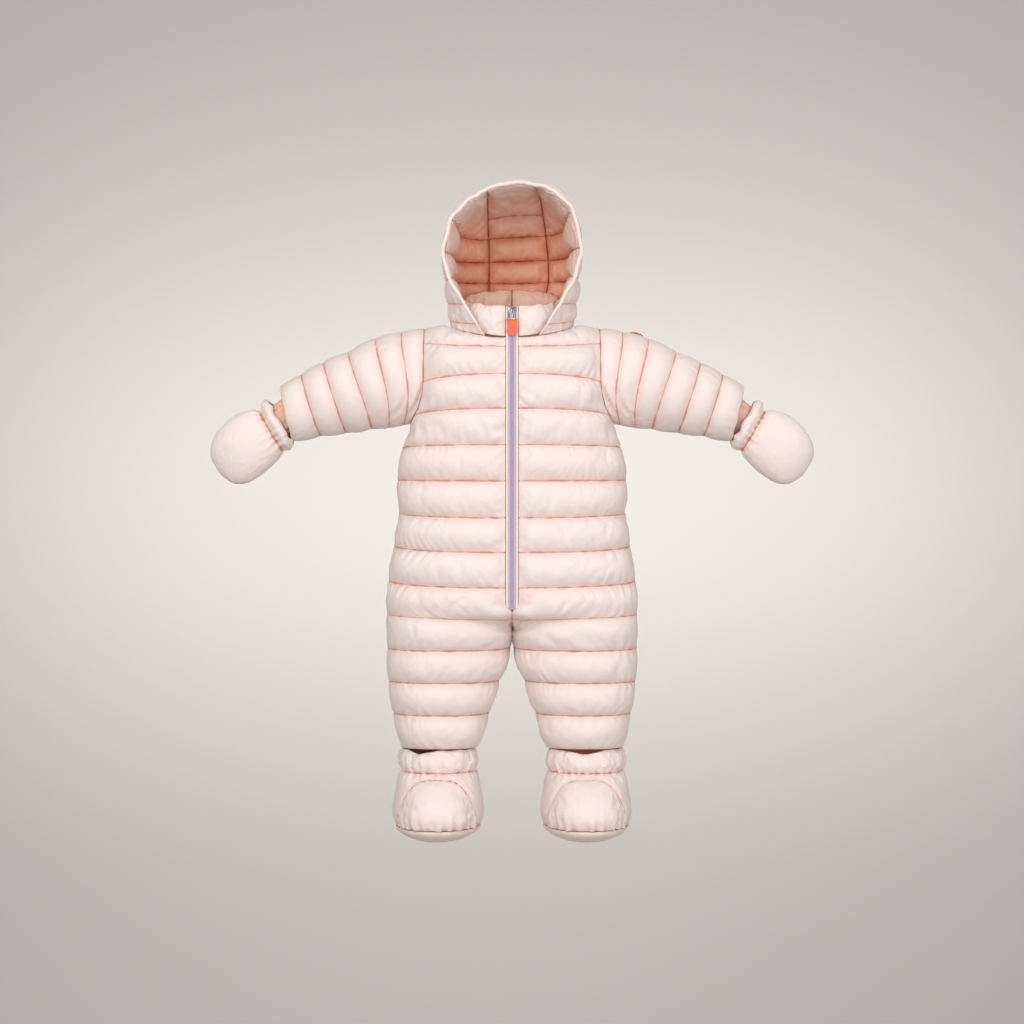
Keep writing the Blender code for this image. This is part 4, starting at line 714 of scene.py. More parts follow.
def mapped_piece(name, verts, faces, uv, gap, tone):
    """Closed mesh with its cloth map, and its stitch distance and lining tone, partly painted
    shade, at each point.
    """
    mesh = bpy.data.meshes.new(name)
    mesh.from_pydata((verts * MM).tolist(), [], faces)
    corner = np.empty(len(mesh.loops), dtype=int)
    mesh.loops.foreach_get("vertex_index", corner)
    mesh.uv_layers.new(name="Cloth").uv.foreach_set(
        "vector", (uv * MM)[corner].astype(np.float32).reshape(-1))
    for key, values in (("stitch_gap", gap * MM), ("lining", tone)):
        mesh.attributes.new(key, "FLOAT", "POINT").data.foreach_set("value", values)
    work = bmesh.new()
    work.from_mesh(mesh)
    bmesh.ops.remove_doubles(work, verts=work.verts, dist=1e-6)
    bmesh.ops.dissolve_degenerate(work, edges=work.edges, dist=1e-7)
    bmesh.ops.recalc_face_normals(work, faces=work.faces)
    if work.calc_volume(signed=True) < 0.0:
        bmesh.ops.reverse_faces(work, faces=work.faces)
    work.to_mesh(mesh)
    work.free()
    return new_object(name, mesh)


def make_active(made):
    bpy.ops.object.select_all(action="DESELECT")
    made.select_set(True)
    bpy.context.view_layer.objects.active = made


def stitch_gaps(grid, rows, lines, borders=(0, -1)):
    """Distance of each point from the nearest quilt line, or seam along a border column."""
    where = row_numbers(rows)
    gaps = np.full(grid.shape[:2], FAR)
    for line in lines:
        gaps = np.minimum(gaps, row_gaps(grid, where[float(line)]))
    for column in borders:
        gaps = np.minimum(gaps, column_gaps(grid, column))
    return gaps


def folds(along, wavelength, seed):
    """Uneven little folds along a line: values from -1 to 1 at distances along it."""
    rng = np.random.default_rng(seed)
    value = np.zeros_like(along)
    for weight in (1.0, 0.7, 0.5):
        length = wavelength * rng.uniform(0.7, 1.6)
        drift = 1.3 * np.sin(along / (wavelength * rng.uniform(2.5, 4.5)) + rng.uniform(0, 6.3))
        value += weight * np.sin(2.0 * math.pi * along / length + drift + rng.uniform(0.0, 6.3))
    return np.clip(value / 1.5, -1.0, 1.0)


def pucker(points, normals, rows, lines, kind, seed):
    """Draw the cloth into small slanting folds that run out from each quilt line."""
    slant, margin, step = 0.9, 60.0, 0.8
    where = row_numbers(rows)
    moved = points.copy()
    for number, line in enumerate(lines):
        at = where[round(float(line), 4)]
        along = run_of(points[at])
        finer = np.arange(-margin, along[-1] + margin, step)
        for way in (-1, 1):
            wave = folds(finer, kind.spacing, seed * 100 + number * 2 + (way > 0))
            rng = np.random.default_rng(seed * 100 + number)
            patch = 0.6 + 0.4 * np.sin(along / rng.uniform(14.0, 30.0) + rng.uniform(0.0, 6.3))
            lean = slant * np.sin(along / rng.uniform(18.0, 45.0) + rng.uniform(0.0, 6.3))
            r = at + way
            while 0 <= r < len(points) and abs(rows[r] - line) < 0.5:
                gap = np.linalg.norm(points[r] - points[at], axis=1)
                size = kind.depth * patch * (gap / kind.reach) * np.exp(1.0 - gap / kind.reach)
                height = size * np.interp(along + lean * gap, finer, wave)
                moved[r] += normals[r] * height[:, None]
                r += way
    return moved


def pucker_columns(points, normals, columns, kind, seed):
    """Small folds that run out from seams lying along the columns of a grid."""
    numbers = [round(0.04 * c, 4) for c in range(points.shape[1])]
    lines = [numbers[c] for c in columns]
    moved = pucker(np.swapaxes(points, 0, 1), np.swapaxes(normals, 0, 1), numbers, lines, kind,
                   seed)
    return np.swapaxes(moved, 0, 1)


def crease(points, normals, path, depth, width):
    """Press a soft trough into a sheet along a path of (row, column) positions.

    Also returns how far each point is from it, more toward its faint ends.
    """
    stops = [points[int(r), int(c)] for r, c in path]
    moved = points.copy()
    nearest = np.full(points.shape[:2], 1e9)
    fade = np.zeros(points.shape[:2])
    for k in range(len(stops) - 1):
        a, b = stops[k], stops[k + 1]
        t = np.clip(np.sum((points - a) * (b - a), axis=2) / max(np.dot(b - a, b - a), 1e-6), 0, 1)
        gap = np.linalg.norm(points - (a + t[..., None] * (b - a)), axis=2)
        share = (k + t) / (len(stops) - 1)
        closer = gap < nearest
        nearest = np.where(closer, gap, nearest)
        fade = np.where(closer, np.sin(math.pi * np.clip(share, 0.03, 0.97)) ** 0.6, fade)
    trough = np.exp(-(nearest / width) ** 2)
    lips = 0.45 * np.exp(-((nearest - 1.9 * width) / (0.8 * width)) ** 2)
    moved += normals * (depth * fade * (lips - trough))[..., None]
    return moved, nearest + 2.0 * (1.0 - fade)


def creased(sheet, out, gaps, name, rows):
    """A panel with its own soft folds pressed in, and its stitch distances with the deep ones,
    which get the painted stitch-line shade.
    """
    for path, depth, width in CREASES[name]:
        spots = [(r * (len(rows) - 1) / rows[-1], c * (sheet.shape[1] - 1)) for r, c in path]
        sheet, away = crease(sheet, out, spots, depth, width)
        if depth >= DEEP_CREASE:
            gaps = np.minimum(gaps, away + CREASE_GAP)
    return sheet, gaps


def gather(points, normals, centre_row, gaps, kind, seed):
    """Elastic gathers: folds square to a ring that die out away from it."""
    along = run_of(points[centre_row])
    turns = max(1, round(along[-1] / kind.spacing))
    phase = 2.0 * math.pi * along / along[-1]
    rng = np.random.default_rng(seed)
    wave = np.zeros_like(along)
    for weight, count in ((1.0, turns), (0.6, turns + rng.integers(2, 5)), (0.5, turns // 2)):
        wave += weight * np.sin(count * phase + rng.uniform(0.0, 6.3))
    wave = np.clip(wave / 1.3, -1.0, 1.0)
    size = kind.depth * np.exp(-(gaps / kind.reach) ** 1.3)
    return points + normals * (size * wave[None, :])[..., None]


def relaxed(normals, passes, closed=False):
    """Even out normals inside a grid, leaving the seams at its first and last column alone."""
    for _ in range(passes):
        wide = normals.copy()
        wide[1:-1] += 0.5 * (normals[:-2] + normals[2:])
        inside = wide[:, 1:-1] + 0.5 * (wide[:, :-2] + wide[:, 2:])
        wide[:, 1:-1] = inside
        if closed:
            seam = wide[:, 0] + 0.5 * (wide[:, 1] + wide[:, -2])
            wide[:, 0] = wide[:, -1] = seam
        normals = unit(wide)
    return normals


def finish_cloth(piece, node):
    """Hand a padded piece to the frame in place of its plain solid."""
    piece.data.materials.clear()
    piece.data.materials.append(shell_material())
    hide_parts(node)
    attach(piece, "suit")


def padded_wall(node, fill, *grids, **kind):
    finish_cloth(cloth_piece("cloth_" + node, *grids, **kind), node)


def padded_strip(node, rings, seam_gap):
    finish_cloth(tube_piece("cloth_" + node, rings, seam_gap), node)


# ---- materials
def new_material(name, roughness=0.6, metallic=0.0):
    material = bpy.data.materials.new(name)
    material.use_nodes = True
    tree = material.node_tree
    shader = tree.nodes["Principled BSDF"]
    shader.inputs["Roughness"].default_value = roughness
    shader.inputs["Metallic"].default_value = metallic
    return material, tree, shader


def node(tree, kind, settings=None, inputs=None):
    made = tree.nodes.new(kind)
    for key, value in (settings or {}).items():
        setattr(made, key, value)
    for key, value in (inputs or {}).items():
        if isinstance(value, bpy.types.NodeSocket):
            tree.links.new(value, made.inputs[key])
        else:
            made.inputs[key].default_value = value
    return made


def grain_group():
    """Fine grain shared by the cloth and the trim: a mottled tint and a slight relief."""
    found = bpy.data.node_groups.get("fine_grain")
    if found:
        return found
    group = bpy.data.node_groups.new("fine_grain", "ShaderNodeTree")
    for name, kind in (("Vector", "NodeSocketVector"), ("Scale", "NodeSocketFloat"),
                       ("Color", "NodeSocketColor"), ("Mottle", "NodeSocketFloat"),
                       ("Relief", "NodeSocketFloat"), ("Normal", "NodeSocketVector")):
        group.interface.new_socket(name, in_out="INPUT", socket_type=kind)
    for name, kind in (("Tint", "NodeSocketColor"), ("Value", "NodeSocketFloat"),
                       ("Normal", "NodeSocketVector")):
        group.interface.new_socket(name, in_out="OUTPUT", socket_type=kind)
    given = node(group, "NodeGroupInput").outputs
    value = node(group, "ShaderNodeTexNoise", None,
                 {"Vector": given["Vector"], "Scale": given["Scale"],
                  "Detail": 2.0}).outputs["Fac"]
    low = node(group, "ShaderNodeMath", {"operation": "SUBTRACT"},
               {0: 1.0, 1: given["Mottle"]}).outputs["Value"]
    bright = node(group, "ShaderNodeMapRange", None, {"Value": value, "From Min": 0.3,
                                                      "From Max": 0.7, "To Min": low})
    tint = node(group, "ShaderNodeVectorMath", {"operation": "SCALE"},
                {"Vector": given["Color"], "Scale": bright.outputs["Result"]})
    bump = node(group, "ShaderNodeBump", None, {"Height": value, "Strength": 0.3,
                                                "Distance": given["Relief"],
                                                "Normal": given["Normal"]})
    out = node(group, "NodeGroupOutput").inputs
    for name, source in (("Tint", tint.outputs["Vector"]), ("Value", value),
                         ("Normal", bump.outputs["Normal"])):
        group.links.new(source, out[name])
    return group


def grain(tree, vector, scale, colour, mottle, relief, normal):
    made = node(tree, "ShaderNodeGroup", {"node_tree": grain_group()},
                {"Vector": vector, "Scale": scale, "Color": colour, "Mottle": mottle,
                 "Relief": relief, "Normal": normal})
    return made.outputs


def shell_material():
    """Fine nylon over soft padding, with painted shade in the valleys along the stitching and
    inside.
    """
    found = bpy.data.materials.get("padded_nylon")
    if found:
        return found
    colours = bpy.context.scene.snowsuit_colours
    material, tree, shader = new_material("padded_nylon", roughness=0.52)
    cloth = node(tree, "ShaderNodeUVMap", {"uv_map": "Cloth"}).outputs["UV"]
    gap = node(tree, "ShaderNodeAttribute", {"attribute_name": "stitch_gap"}).outputs["Fac"]

    def noise(inputs):
        return node(tree, "ShaderNodeTexNoise", {"noise_dimensions": "2D"},
                    {"Vector": cloth, **inputs}).outputs["Fac"]

    def ranged(kind, inputs):
        return node(tree, "ShaderNodeMapRange", {"interpolation_type": kind},
                    inputs).outputs["Result"]

    # painted stitch-line shade: its width wanders with this noise, and near is the mask from the
    # line out to that width
    patchy = noise({"Scale": 55.0, "Detail": 2.0})
    reach = ranged("LINEAR", {"Value": patchy, "From Min": 0.35, "From Max": 0.68,
                              "To Min": 0.0007, "To Max": 0.0023})
    near = ranged("SMOOTHSTEP", {"Value": gap, "From Min": 0.0, "From Max": reach})
    # painted valley shade: the cloth is darker up to 11 mm from the stitching
    valley_shade = ranged("SMOOTHSTEP", {"Value": gap, "From Min": 0.0, "From Max": 0.011})
    inside = node(tree, "ShaderNodeAttribute", {"attribute_name": "lining"}).outputs["Fac"]

    def mix(factor, a, b):
        pair = [c if isinstance(c, bpy.types.NodeSocket) else (*c, 1.0) for c in (a, b)]
        made = node(tree, "ShaderNodeMix", {"data_type": "RGBA"},
                    {"Factor": factor, 6: pair[0], 7: pair[1]})
        return made.outputs[2]

    # outer and inner cloth colours, each with its painted valley shade
    outer_tone = mix(valley_shade, colours.shell_shade, colours.shell)
    inner_tone = mix(valley_shade, colours.lining_shade, colours.lining)
    cloth_tone = mix(inside, outer_tone, inner_tone)
    # colour of the painted shade right at the stitch lines, outside and inside
    stitch_shade_tone = mix(inside, colours.stitch_shade, colours.lining_stitch_shade)
    crinkle = noise({"Scale": 95.0, "Detail": 3.0, "Distortion": 0.6})
    bump = node(tree, "ShaderNodeBump", None,
                {"Height": crinkle, "Strength": 0.4, "Distance": 0.0012})
    weave = grain(tree, cloth, 1400.0, mix(near, stitch_shade_tone, cloth_tone), 0.02, 0.0001,
                  bump.outputs["Normal"])
    tree.links.new(weave["Tint"], shader.inputs["Base Color"])
    tree.links.new(weave["Normal"], shader.inputs["Normal"])
    shader.inputs["Sheen Weight"].default_value = 0.25
    shader.inputs["Sheen Roughness"].default_value = 0.4
    shader.inputs["Specular IOR Level"].default_value = 0.35
    return material


def trim_material(name, colour, roughness, scale, mottle, relief, metallic=0.0):
    """Tape, nylon, felt, rubber or metal: one colour with a fine grain."""
    found = bpy.data.materials.get(name)
    if found:
        return found
    material, tree, shader = new_material(name, roughness, metallic)
    texture = node(tree, "ShaderNodeTexCoord").outputs["Object"]
    flat = node(tree, "ShaderNodeNewGeometry").outputs["Normal"]
    fine = grain(tree, texture, scale, (*colour, 1.0), mottle, relief, flat)
    worn = node(tree, "ShaderNodeMapRange", None,
                {"Value": fine["Value"], "From Min": 0.3, "From Max": 0.7,
                 "To Min": roughness * 0.8, "To Max": min(1.0, roughness * 1.2)})
    tree.links.new(fine["Tint"], shader.inputs["Base Color"])
    tree.links.new(worn.outputs["Result"], shader.inputs["Roughness"])
    tree.links.new(fine["Normal"], shader.inputs["Normal"])
    return material


def colour(name, description, default):
    return bpy.props.FloatVectorProperty(name=name, description=description, subtype="COLOR",
                                         size=3, default=default, min=0.0, max=1.0)


class SnowsuitColours(bpy.types.PropertyGroup):
    """Colours of the cloth and trim, and of the painted shade along the stitching and inside."""
    shell: colour("Shell", "Nylon of the padded panels", (0.85, 0.757, 0.722))
    # Shell valleys: painted shade, the nylon darker close to the stitching.
    shell_shade: colour("Shell valleys", "Nylon close to the stitching", (0.84, 0.68, 0.625))
    # Stitch lines: painted shade, warm and dark, in the valleys along the stitching.
    stitch_shade: colour("Stitch lines", "Cloth in the valleys along the stitching",
                        (0.60, 0.25, 0.17))
    # Stitch lines inside: painted shade in the valleys of the lining's stitching.
    lining_stitch_shade: colour("Stitch lines inside", "Valleys along the stitching of the lining",
                          (0.42, 0.09, 0.045))
    # Lining: the lining's own colour, made deeper to stand for the shade inside; partly painted
    # shade.
    lining: colour("Lining", "Inside of the hood, collar and cuffs", (0.89, 0.52, 0.37))
    # Lining valleys: painted shade close to the lining's stitching.
    lining_shade: colour("Lining valleys", "Lining close to the stitching", (0.76, 0.33, 0.20))
    zip_tape: colour("Zip tape", "Woven tape of the zip", (0.60, 0.50, 0.66))
    zip_teeth: colour("Zip teeth", "Nylon coil of the zip", (0.52, 0.43, 0.60))
    metal: colour("Slider metal", "Slider and pull link", (0.40, 0.40, 0.41))
    pull: colour("Pull tab", "Rubber tab of the zip pull", (0.95, 0.15, 0.065))
    badge: colour("Badge", "Round badge on the sleeve", (0.62, 0.17, 0.04))


class SnowsuitSizes(bpy.types.PropertyGroup):
    """How full the padding is."""
    growth: bpy.props.FloatProperty(
        name="Spare cloth", description="Share of cloth that gathers between stitch lines",
        default=0.05, min=0.0, max=0.2, subtype="FACTOR")
    pressure: bpy.props.FloatProperty(
        name="Filling pressure", description="Pressure of the padding under the cloth",
        default=10.0, min=0.0, max=40.0)
    swell_cap: bpy.props.FloatProperty(
        name="Swell limit", description="How far the cloth may move while it swells, in mm",
        default=5.0, min=0.0, max=20.0)


# ---- body and sleeves
def body_rows():
    rows = []
    breaks = {3: V_UNDERARM, 8: V_ZIP_END, 9: V_CROTCH}
    for channel in range(LAST_ROW):
        steps = list(CHANNEL_STEPS)
        if channel in breaks:
            part = breaks[channel] - channel
            nearest = min(range(1, len(steps)), key=lambda k: abs(steps[k] - part))
            steps[nearest] = part
        rows += [channel + t for t in steps]
    return [round(v, 6) for v in rows] + [float(LAST_ROW)]


def body_share(u, v):
    """How full the padding is: less at the side seams and inside the legs."""
    side = 1.0 - SIDE_FLAT * ease((u - SIDE_FROM) / (1.0 - SIDE_FROM))
    in_leg = ease((v - LEG_FIRST) / 0.6)
    return side * (1.0 - INSEAM_FLAT * in_leg * ease((INSEAM_TO - u) / INSEAM_TO))


def sleeve_share(angle):
    """How full the padding is: less along the top and the underside."""
    level = math.cos(angle)
    return 1.0 - (SLEEVE_FLAT_TOP if level > 0.0 else SLEEVE_FLAT_UNDER) * level * level


class SNOWSUIT_OT_body(bpy.types.Operator):
    """Front and back panels and both sleeves, quilted and swollen"""
    bl_idname = "snowsuit.body"
    bl_label = "Body and sleeves"

    def execute(self, context):
        sizes = context.scene.snowsuit_sizes
        rows = body_rows()
        columns = np.linspace(0.0, 1.0, BODY_COLUMNS + 1)
        front = as_grid([[body_point(u, v, -1) for u in columns] for v in rows])
        back = as_grid([[body_point(u, v, 1) for u in columns] for v in rows])
        ring = [arm_angle(v) for v in rows if v <= V_UNDERARM + 1e-6]
        angles = [-a for a in ring[::-1]] + ring[1:]
        sleeve_rows = [round(k + t, 6) for k in range(len(SLEEVE)) for t in CHANNEL_STEPS]
        sleeve_rows.append(float(len(SLEEVE)))
        sleeve = as_grid([[sleeve_point(v, a) for a in angles] for v in sleeve_rows])
        normals = shared_normals((front, back, sleeve), (-1.0, 1.0, 1.0), middle=True)
        arm = [(p, lerp(ARM_SLOPE_LOW, ARM_SLOPE_HIGH,
                        (p[2] - ARM_CENTRE_Z + ARM_HALF_Z) / (2.0 * ARM_HALF_Z)))
               for p in sleeve[0, ::2]]
        neck = [(tuple(neck_row(u, side, ZIP_HALF)), NECK_SLOPE) for side in (-1, 1)
                for u in np.linspace(0.0, NECK_COLUMN, 24)]
        sheets, parts = [], []
        full = np.array([[body_share(u, v) for u in columns] for v in rows])
        lines = list(range(LAST_ROW + 1))
        kept = (V_UNDERARM, V_ZIP_END, V_CROTCH)
        plain = [i for i, v in enumerate(rows) if min(abs(v - k) for k in (round(v), *kept)) < 1e-5
                 or (int(v) in FINE_CHANNELS and i % 2 == 0)]
        for name, grid, n in (("front", front, normals[0]), ("back", back, normals[1])):
            base = pull_in(grid, n, ("first_row", "last_col"))
            heights = channel_heights(base, rows, lines, PUFF_RATIO, PUFF_MAX, near=arm + neck,
                                      share=full)
            raised = base + n * heights[..., None] * PUFF_START
            raised[..., 0] = np.maximum(raised[..., 0], CENTRE_INSET)
            inner = (base - n * WALL)[plain]
            held = held_mask(base.shape[:2], rows, lines)
            seams = stitch_gaps(base, rows, lines, (-1,) if name == "front" else (0, -1))
            for side, turn in SIDES:
                panel, out, seed = name + "_" + side, unit(turn(n)), len(parts) + 3
                sheet = pucker(turn(raised), out, rows, lines, PANEL_PUCKER, seed)
                sheet = pucker_columns(sheet, out, (0,), FRONT_PUCKER, seed + 7)
                sheet = pucker_columns(sheet, out, (BODY_COLUMNS,), SIDE_PUCKER, seed + 9)
                sheet, gaps = creased(sheet, out, seams, panel, rows)
                sheets.append(Swollen(sheet, held, (name == "front") == (side == "left")))
                parts.append((panel, turn(inner), plain, gaps))
        n = normals[2]
        base = pull_in(sleeve, n, ("first_row",))
        lines = list(range(len(SLEEVE) + 1))
        sleeve_full = np.array([[sleeve_share(a) for a in angles]])
        heights = channel_heights(base, sleeve_rows, lines, PUFF_RATIO, PUFF_MAX,
                                  taper=SLEEVE_TAPER, near=arm, share=sleeve_full)
        raised = base + n * heights[..., None] * PUFF_START
        plain = [i for i, v in enumerate(sleeve_rows) if abs(v - round(v)) < 1e-6]
        inner = (base - n * WALL)[plain]
        held = held_mask(base.shape[:2], sleeve_rows, lines)
        seams = stitch_gaps(base, sleeve_rows, lines, borders=())
        for side, turn in SIDES:
            panel, out = "sleeve_" + side, unit(turn(n))
            sheet = pucker(turn(raised), out, sleeve_rows, lines, SLEEVE_PUCKER, 41 + len(parts))
            sheet, gaps = creased(sheet, out, seams, panel, sleeve_rows)
            sheets.append(Swollen(sheet, held, side == "right"))
            parts.append((panel, turn(inner), plain, gaps))
        swollen = inflate(sheets, sizes.pressure, sizes.growth, sizes.swell_cap, seed=11)
        for (name, inner, plain, gaps), sheet, moved in zip(parts, sheets, swollen):
            in_sleeve = name.startswith("sleeve")
            share = sleeve_full if in_sleeve else full
            step = evened(moved - sheet.points, sheet.held, 14 if in_sleeve else 1)
            outer = sheet.points + step * np.clip(share, 0.0, 1.0)[..., None]
            if in_sleeve:
                outer, inner = self.drop_hem(outer, inner, sleeve_rows, plain)
            else:
                way = -1.0 if name.endswith("right") else 1.0
                outer[..., 0] = way * np.maximum(way * outer[..., 0], CENTRE_INSET)
            padded_wall(name, 0.8, outer, inner, plain, gaps, lining=LINING_TONE)
        return {"FINISHED"}

    def drop_hem(self, outer, inner, rows, plain):
        """Let the end of a sleeve slip a little toward the hand, unevenly."""
        way = unit(outer[-1].mean(axis=0) - outer[-8].mean(axis=0))
        count = outer.shape[1]
        slip = HEM_SLIP + HEM_SLIP_WAVE * folds(np.linspace(0.0, 220.0, count), 30.0, 17)
        share = np.clip(np.array(rows) - (rows[-1] - 1.0), 0.0, 1.0) ** 2
        move = (share[:, None] * slip[None])[..., None] * way
        return outer + move, inner + move[plain]


# ---- hood and collar
def hood_tilt(p):
    high = max(0.0, p[2] / HOOD_TOP_Z)
    return (p[0], p[1], p[2] + HOOD_TILT * p[0] * high * high)


def hood_neck(count):
    points = []
    for w in np.linspace(0.0, 1.0, count):
        if w < 0.5:
            p = neck_row(lerp(HOOD_NECK_START, NECK_COLUMN, 2.0 * w), 1, CENTRE_INSET)
        else:
            p = neck_row(lerp(NECK_COLUMN, HOOD_NECK_START, 2.0 * w - 1.0), -1, ZIP_HALF)
        points.append(p + Vector((0.0, 0.0, HOOD_LIFT)))
    return points


def hood_side_row(v, count, sign):
    seam_x, seam_y, seam_z, rim_x, rim_y, rim_z, side_x, side_y, shift = [
        table_value(HOOD, column, min(v, HOOD_NECK_ROW - 1)) for column in Hood._fields]
    seam_x += sign * shift
    points = []
    for w in np.linspace(0.0, 1.0, count):
        z = lerp(seam_z, rim_z, w)
        if w < 0.5:
            x = seam_x + (side_x - seam_x) * math.sin(math.pi * w) ** HOOD_POWER
            y = side_y + (seam_y - side_y) * max(0.0, math.cos(math.pi * w)) ** HOOD_POWER
        else:
            t = 2.0 * w - 1.0
            x = side_x + (rim_x - side_x) * t ** RIM_POWER
            y = lerp(side_y, rim_y, t)
        points.append(Vector((x, y, z)))
    return points


def hood_side_grid(rows, count, sign):
    neck = hood_neck(count)
    last = hood_side_row(HOOD_NECK_ROW - 1, count, sign)
    grid = []
    for v in rows:
        t = v - (HOOD_NECK_ROW - 1)
        if t > 0.0:
            row = [a.lerp(b, t) for a, b in zip(last, neck)]
        else:
            row = hood_side_row(v, count, sign)
        grid.append([hood_tilt((sign * p.x, p.y, p.z)) for p in row])
    return np.array(grid)


def hood_centre_grid(rows, left, right, count):
    grid = []
    share = np.linspace(0.0, 1.0, count)[:, None]
    for r, v in enumerate(rows):
        before, after = left[max(r - 1, 0), 0], left[min(r + 1, len(rows) - 1), 0]
        out = unit(np.array([0.0, before[2] - after[2], after[1] - before[1]]))
        crown = HOOD_CROWN * min(1.0, HOOD_NECK_ROW - v) * (1.0 - (2.0 * share - 1.0) ** 2)
        grid.append(right[r, 0] * (1.0 - share) + left[r, 0] * share + out * crown)
    return np.array(grid)


class SNOWSUIT_OT_hood(bpy.types.Operator):
    """Hood in three panels, padded inside and out, with its bound rim"""
    bl_idname = "snowsuit.hood"
    bl_label = "Hood"

    def execute(self, context):
        sizes = context.scene.snowsuit_sizes
        rows = []
        for channel in range(HOOD_NECK_ROW):
            steps = CHANNEL_STEPS
            if channel < CROWN_ROWS:
                steps = np.linspace(0.0, 1.0, CROWN_STEPS + 1)[:-1]
            rows += [round(channel + t, 6) for t in steps]
        rows.append(float(HOOD_NECK_ROW))
        left, right = (hood_side_grid(rows, HOOD_COLUMNS + 1, sign) for sign in (1.0, -1.0))
        centre = hood_centre_grid(rows, left, right, CENTRE_COLUMNS + 1)
        normals = shared_normals((left, right, centre), (1.0, -1.0, 1.0))
        seams = [grid[r, 0] for grid in (left, right) for r in range(0, len(rows), 2)]
        rim_ring = [grid[r, -1] for grid in (left, right) for r in range(0, len(rows), 2)]
        rim_ring = [(p, RIM_SLOPE) for p in (*rim_ring, *centre[0, ::2])]
        base_ring = [(p, BASE_SLOPE) for grid in (left, right, centre) for p in grid[-1][::2]]
        pieces = (("hood_side_left", left, normals[0], HOOD_LINES_SIDE, ("first_col",), False),
                  ("hood_side_right", right, normals[1], HOOD_LINES_SIDE, ("first_col",), True),
                  ("hood_centre", centre, normals[2], HOOD_LINES_CENTRE,
                   ("first_col", "last_col"), False))
        sheets, gap_maps = [], []
        for number, (name, grid, n, lines, edges, flip) in enumerate(pieces):
            n = relaxed(n, 10)
            base = pull_in(grid, n, edges)
            outward_puff = channel_heights(
                base, rows, lines, HOOD_PUFF_RATIO, HOOD_PUFF_MAX, taper=HOOD_TAPER,
                near=[(p, SEAM_SLOPE) for p in seams] + base_ring)
            inward_puff = channel_heights(
                base, rows, lines, HOOD_INNER_RATIO, HOOD_INNER_MAX, taper=HOOD_INNER_TAPER,
                near=[(p, INNER_SEAM_SLOPE) for p in seams] + base_ring + rim_ring)
            outer = pucker(base + n * outward_puff[..., None] * PUFF_START, n, rows, lines,
                           HOOD_PUCKER, 71 + number)
            inner = base - n * (WALL + inward_puff[..., None] * PUFF_START)
            inner = pucker(inner, -n, rows, lines, HOOD_INNER_PUCKER, 81 + number)
            inner = pucker_columns(inner, -n, (0, inner.shape[1] - 1), HOOD_SEAM_PUCKER,
                                   85 + number)
            held = held_mask(base.shape[:2], rows, lines)
            sheets += [Swollen(outer, held, flip), Swollen(inner, held, not flip)]
            gaps = stitch_gaps(base, rows, lines[1:], (0,) if len(edges) == 1 else (0, -1))
            rim = row_gaps(base, 0)
            if len(edges) == 1:
                rim = np.minimum(rim, column_gaps(base, -1))
            gap_maps.append(np.minimum(gaps, rim + RIM_SHADE_FAINT))
        swollen = inflate(sheets, sizes.pressure, sizes.growth, HOOD_SWELL, seed=12)
        for number, (name, *_) in enumerate(pieces):
            inner = swollen[2 * number + 1]
            # painted shade: the lining tone deepens toward the back of the hood, with painted light
            # under the crown
            deep = np.clip((inner[..., 1] - SHADE_Y) / SHADE_DEPTH, SHADE_LEAST, 1.0)
            deep *= 1.0 - CROWN_PAINTED_LIGHT * np.clip((inner[..., 2] - CROWN_Z) / CROWN_FADE, 0.0, 1.0)
            padded_wall(name, 0.7, swollen[2 * number], inner, list(range(len(rows))),
                        gap_maps[number], lining=deep)
        self.bind_rim(left, right, centre)
        return {"FINISHED"}

    def bind_rim(self, left, right, centre):
        """Narrow bound edge from chin to chin over the brow, with slight gathers."""
        def rim(grid):
            return [(grid[r, -1], grid[r, -4]) for r in range(len(grid) - 1, -1, -1)] + [
                (grid[0, c], grid[3, c]) for c in range(grid.shape[1] - 3, 1, -3)]

        line = rim(right) + [(centre[0, c], centre[3, c]) for c in range(0, centre.shape[1], 3)]
        line += rim(left)[::-1]
        points = np.array([p for p, _ in line])
        ahead = unit(np.array([p - q for p, q in line]))
        keep = [0] + [i for i in range(1, len(line)) if np.linalg.norm(points[i] - points[i - 1])
                      > 0.8]
        points, ahead = points[keep], ahead[keep]
        run = run_of(points)
        even = np.linspace(0.0, run[-1], int(run[-1] / BINDING_STEP))
        points, ahead = resampled(points, run, even), resampled(ahead, run, even)
        calmed(points, 4)
        calmed(ahead, 4)
        tangent = unit(np.gradient(points, axis=0))
        ahead = unit(ahead - tangent * np.sum(ahead * tangent, axis=1, keepdims=True))
        out = np.cross(tangent, ahead)
        middle = points + ahead * BINDING_OUT - out * BINDING_SIDE
        middle += out * (BINDING_SWAY * folds(even, 30.0, 6))[:, None]
        turns = np.linspace(0.0, 2.0 * math.pi, SMALL_COLUMNS + 1)
        wave = BINDING_GATHER * folds(even, 7.0, 5)[:, None]
        slim = 1.0 - BINDING_SLIM * np.clip((BINDING_SLIM_Z - middle[:, 2:]) / 60.0, 0.0, 1.0)
        to_end = np.minimum(even, even[-1] - even)[:, None] / BINDING_END
        slim = slim * (0.25 + 0.75 * np.clip(to_end, 0.0, 1.0) ** 0.7)
        middle -= ahead * (BINDING_OUT * np.clip(1.0 - to_end, 0.0, 1.0))
        across, deep = BINDING_HALF_WIDTH * slim + wave, BINDING_HALF_DEPTH * slim + wave
        rings = (middle[:, None] + out[:, None] * (across * np.cos(turns))[..., None]
                 + ahead[:, None] * (deep * np.sin(turns))[..., None])
        padded_strip("hood_binding", rings, TRIM_SHADE_GAP)


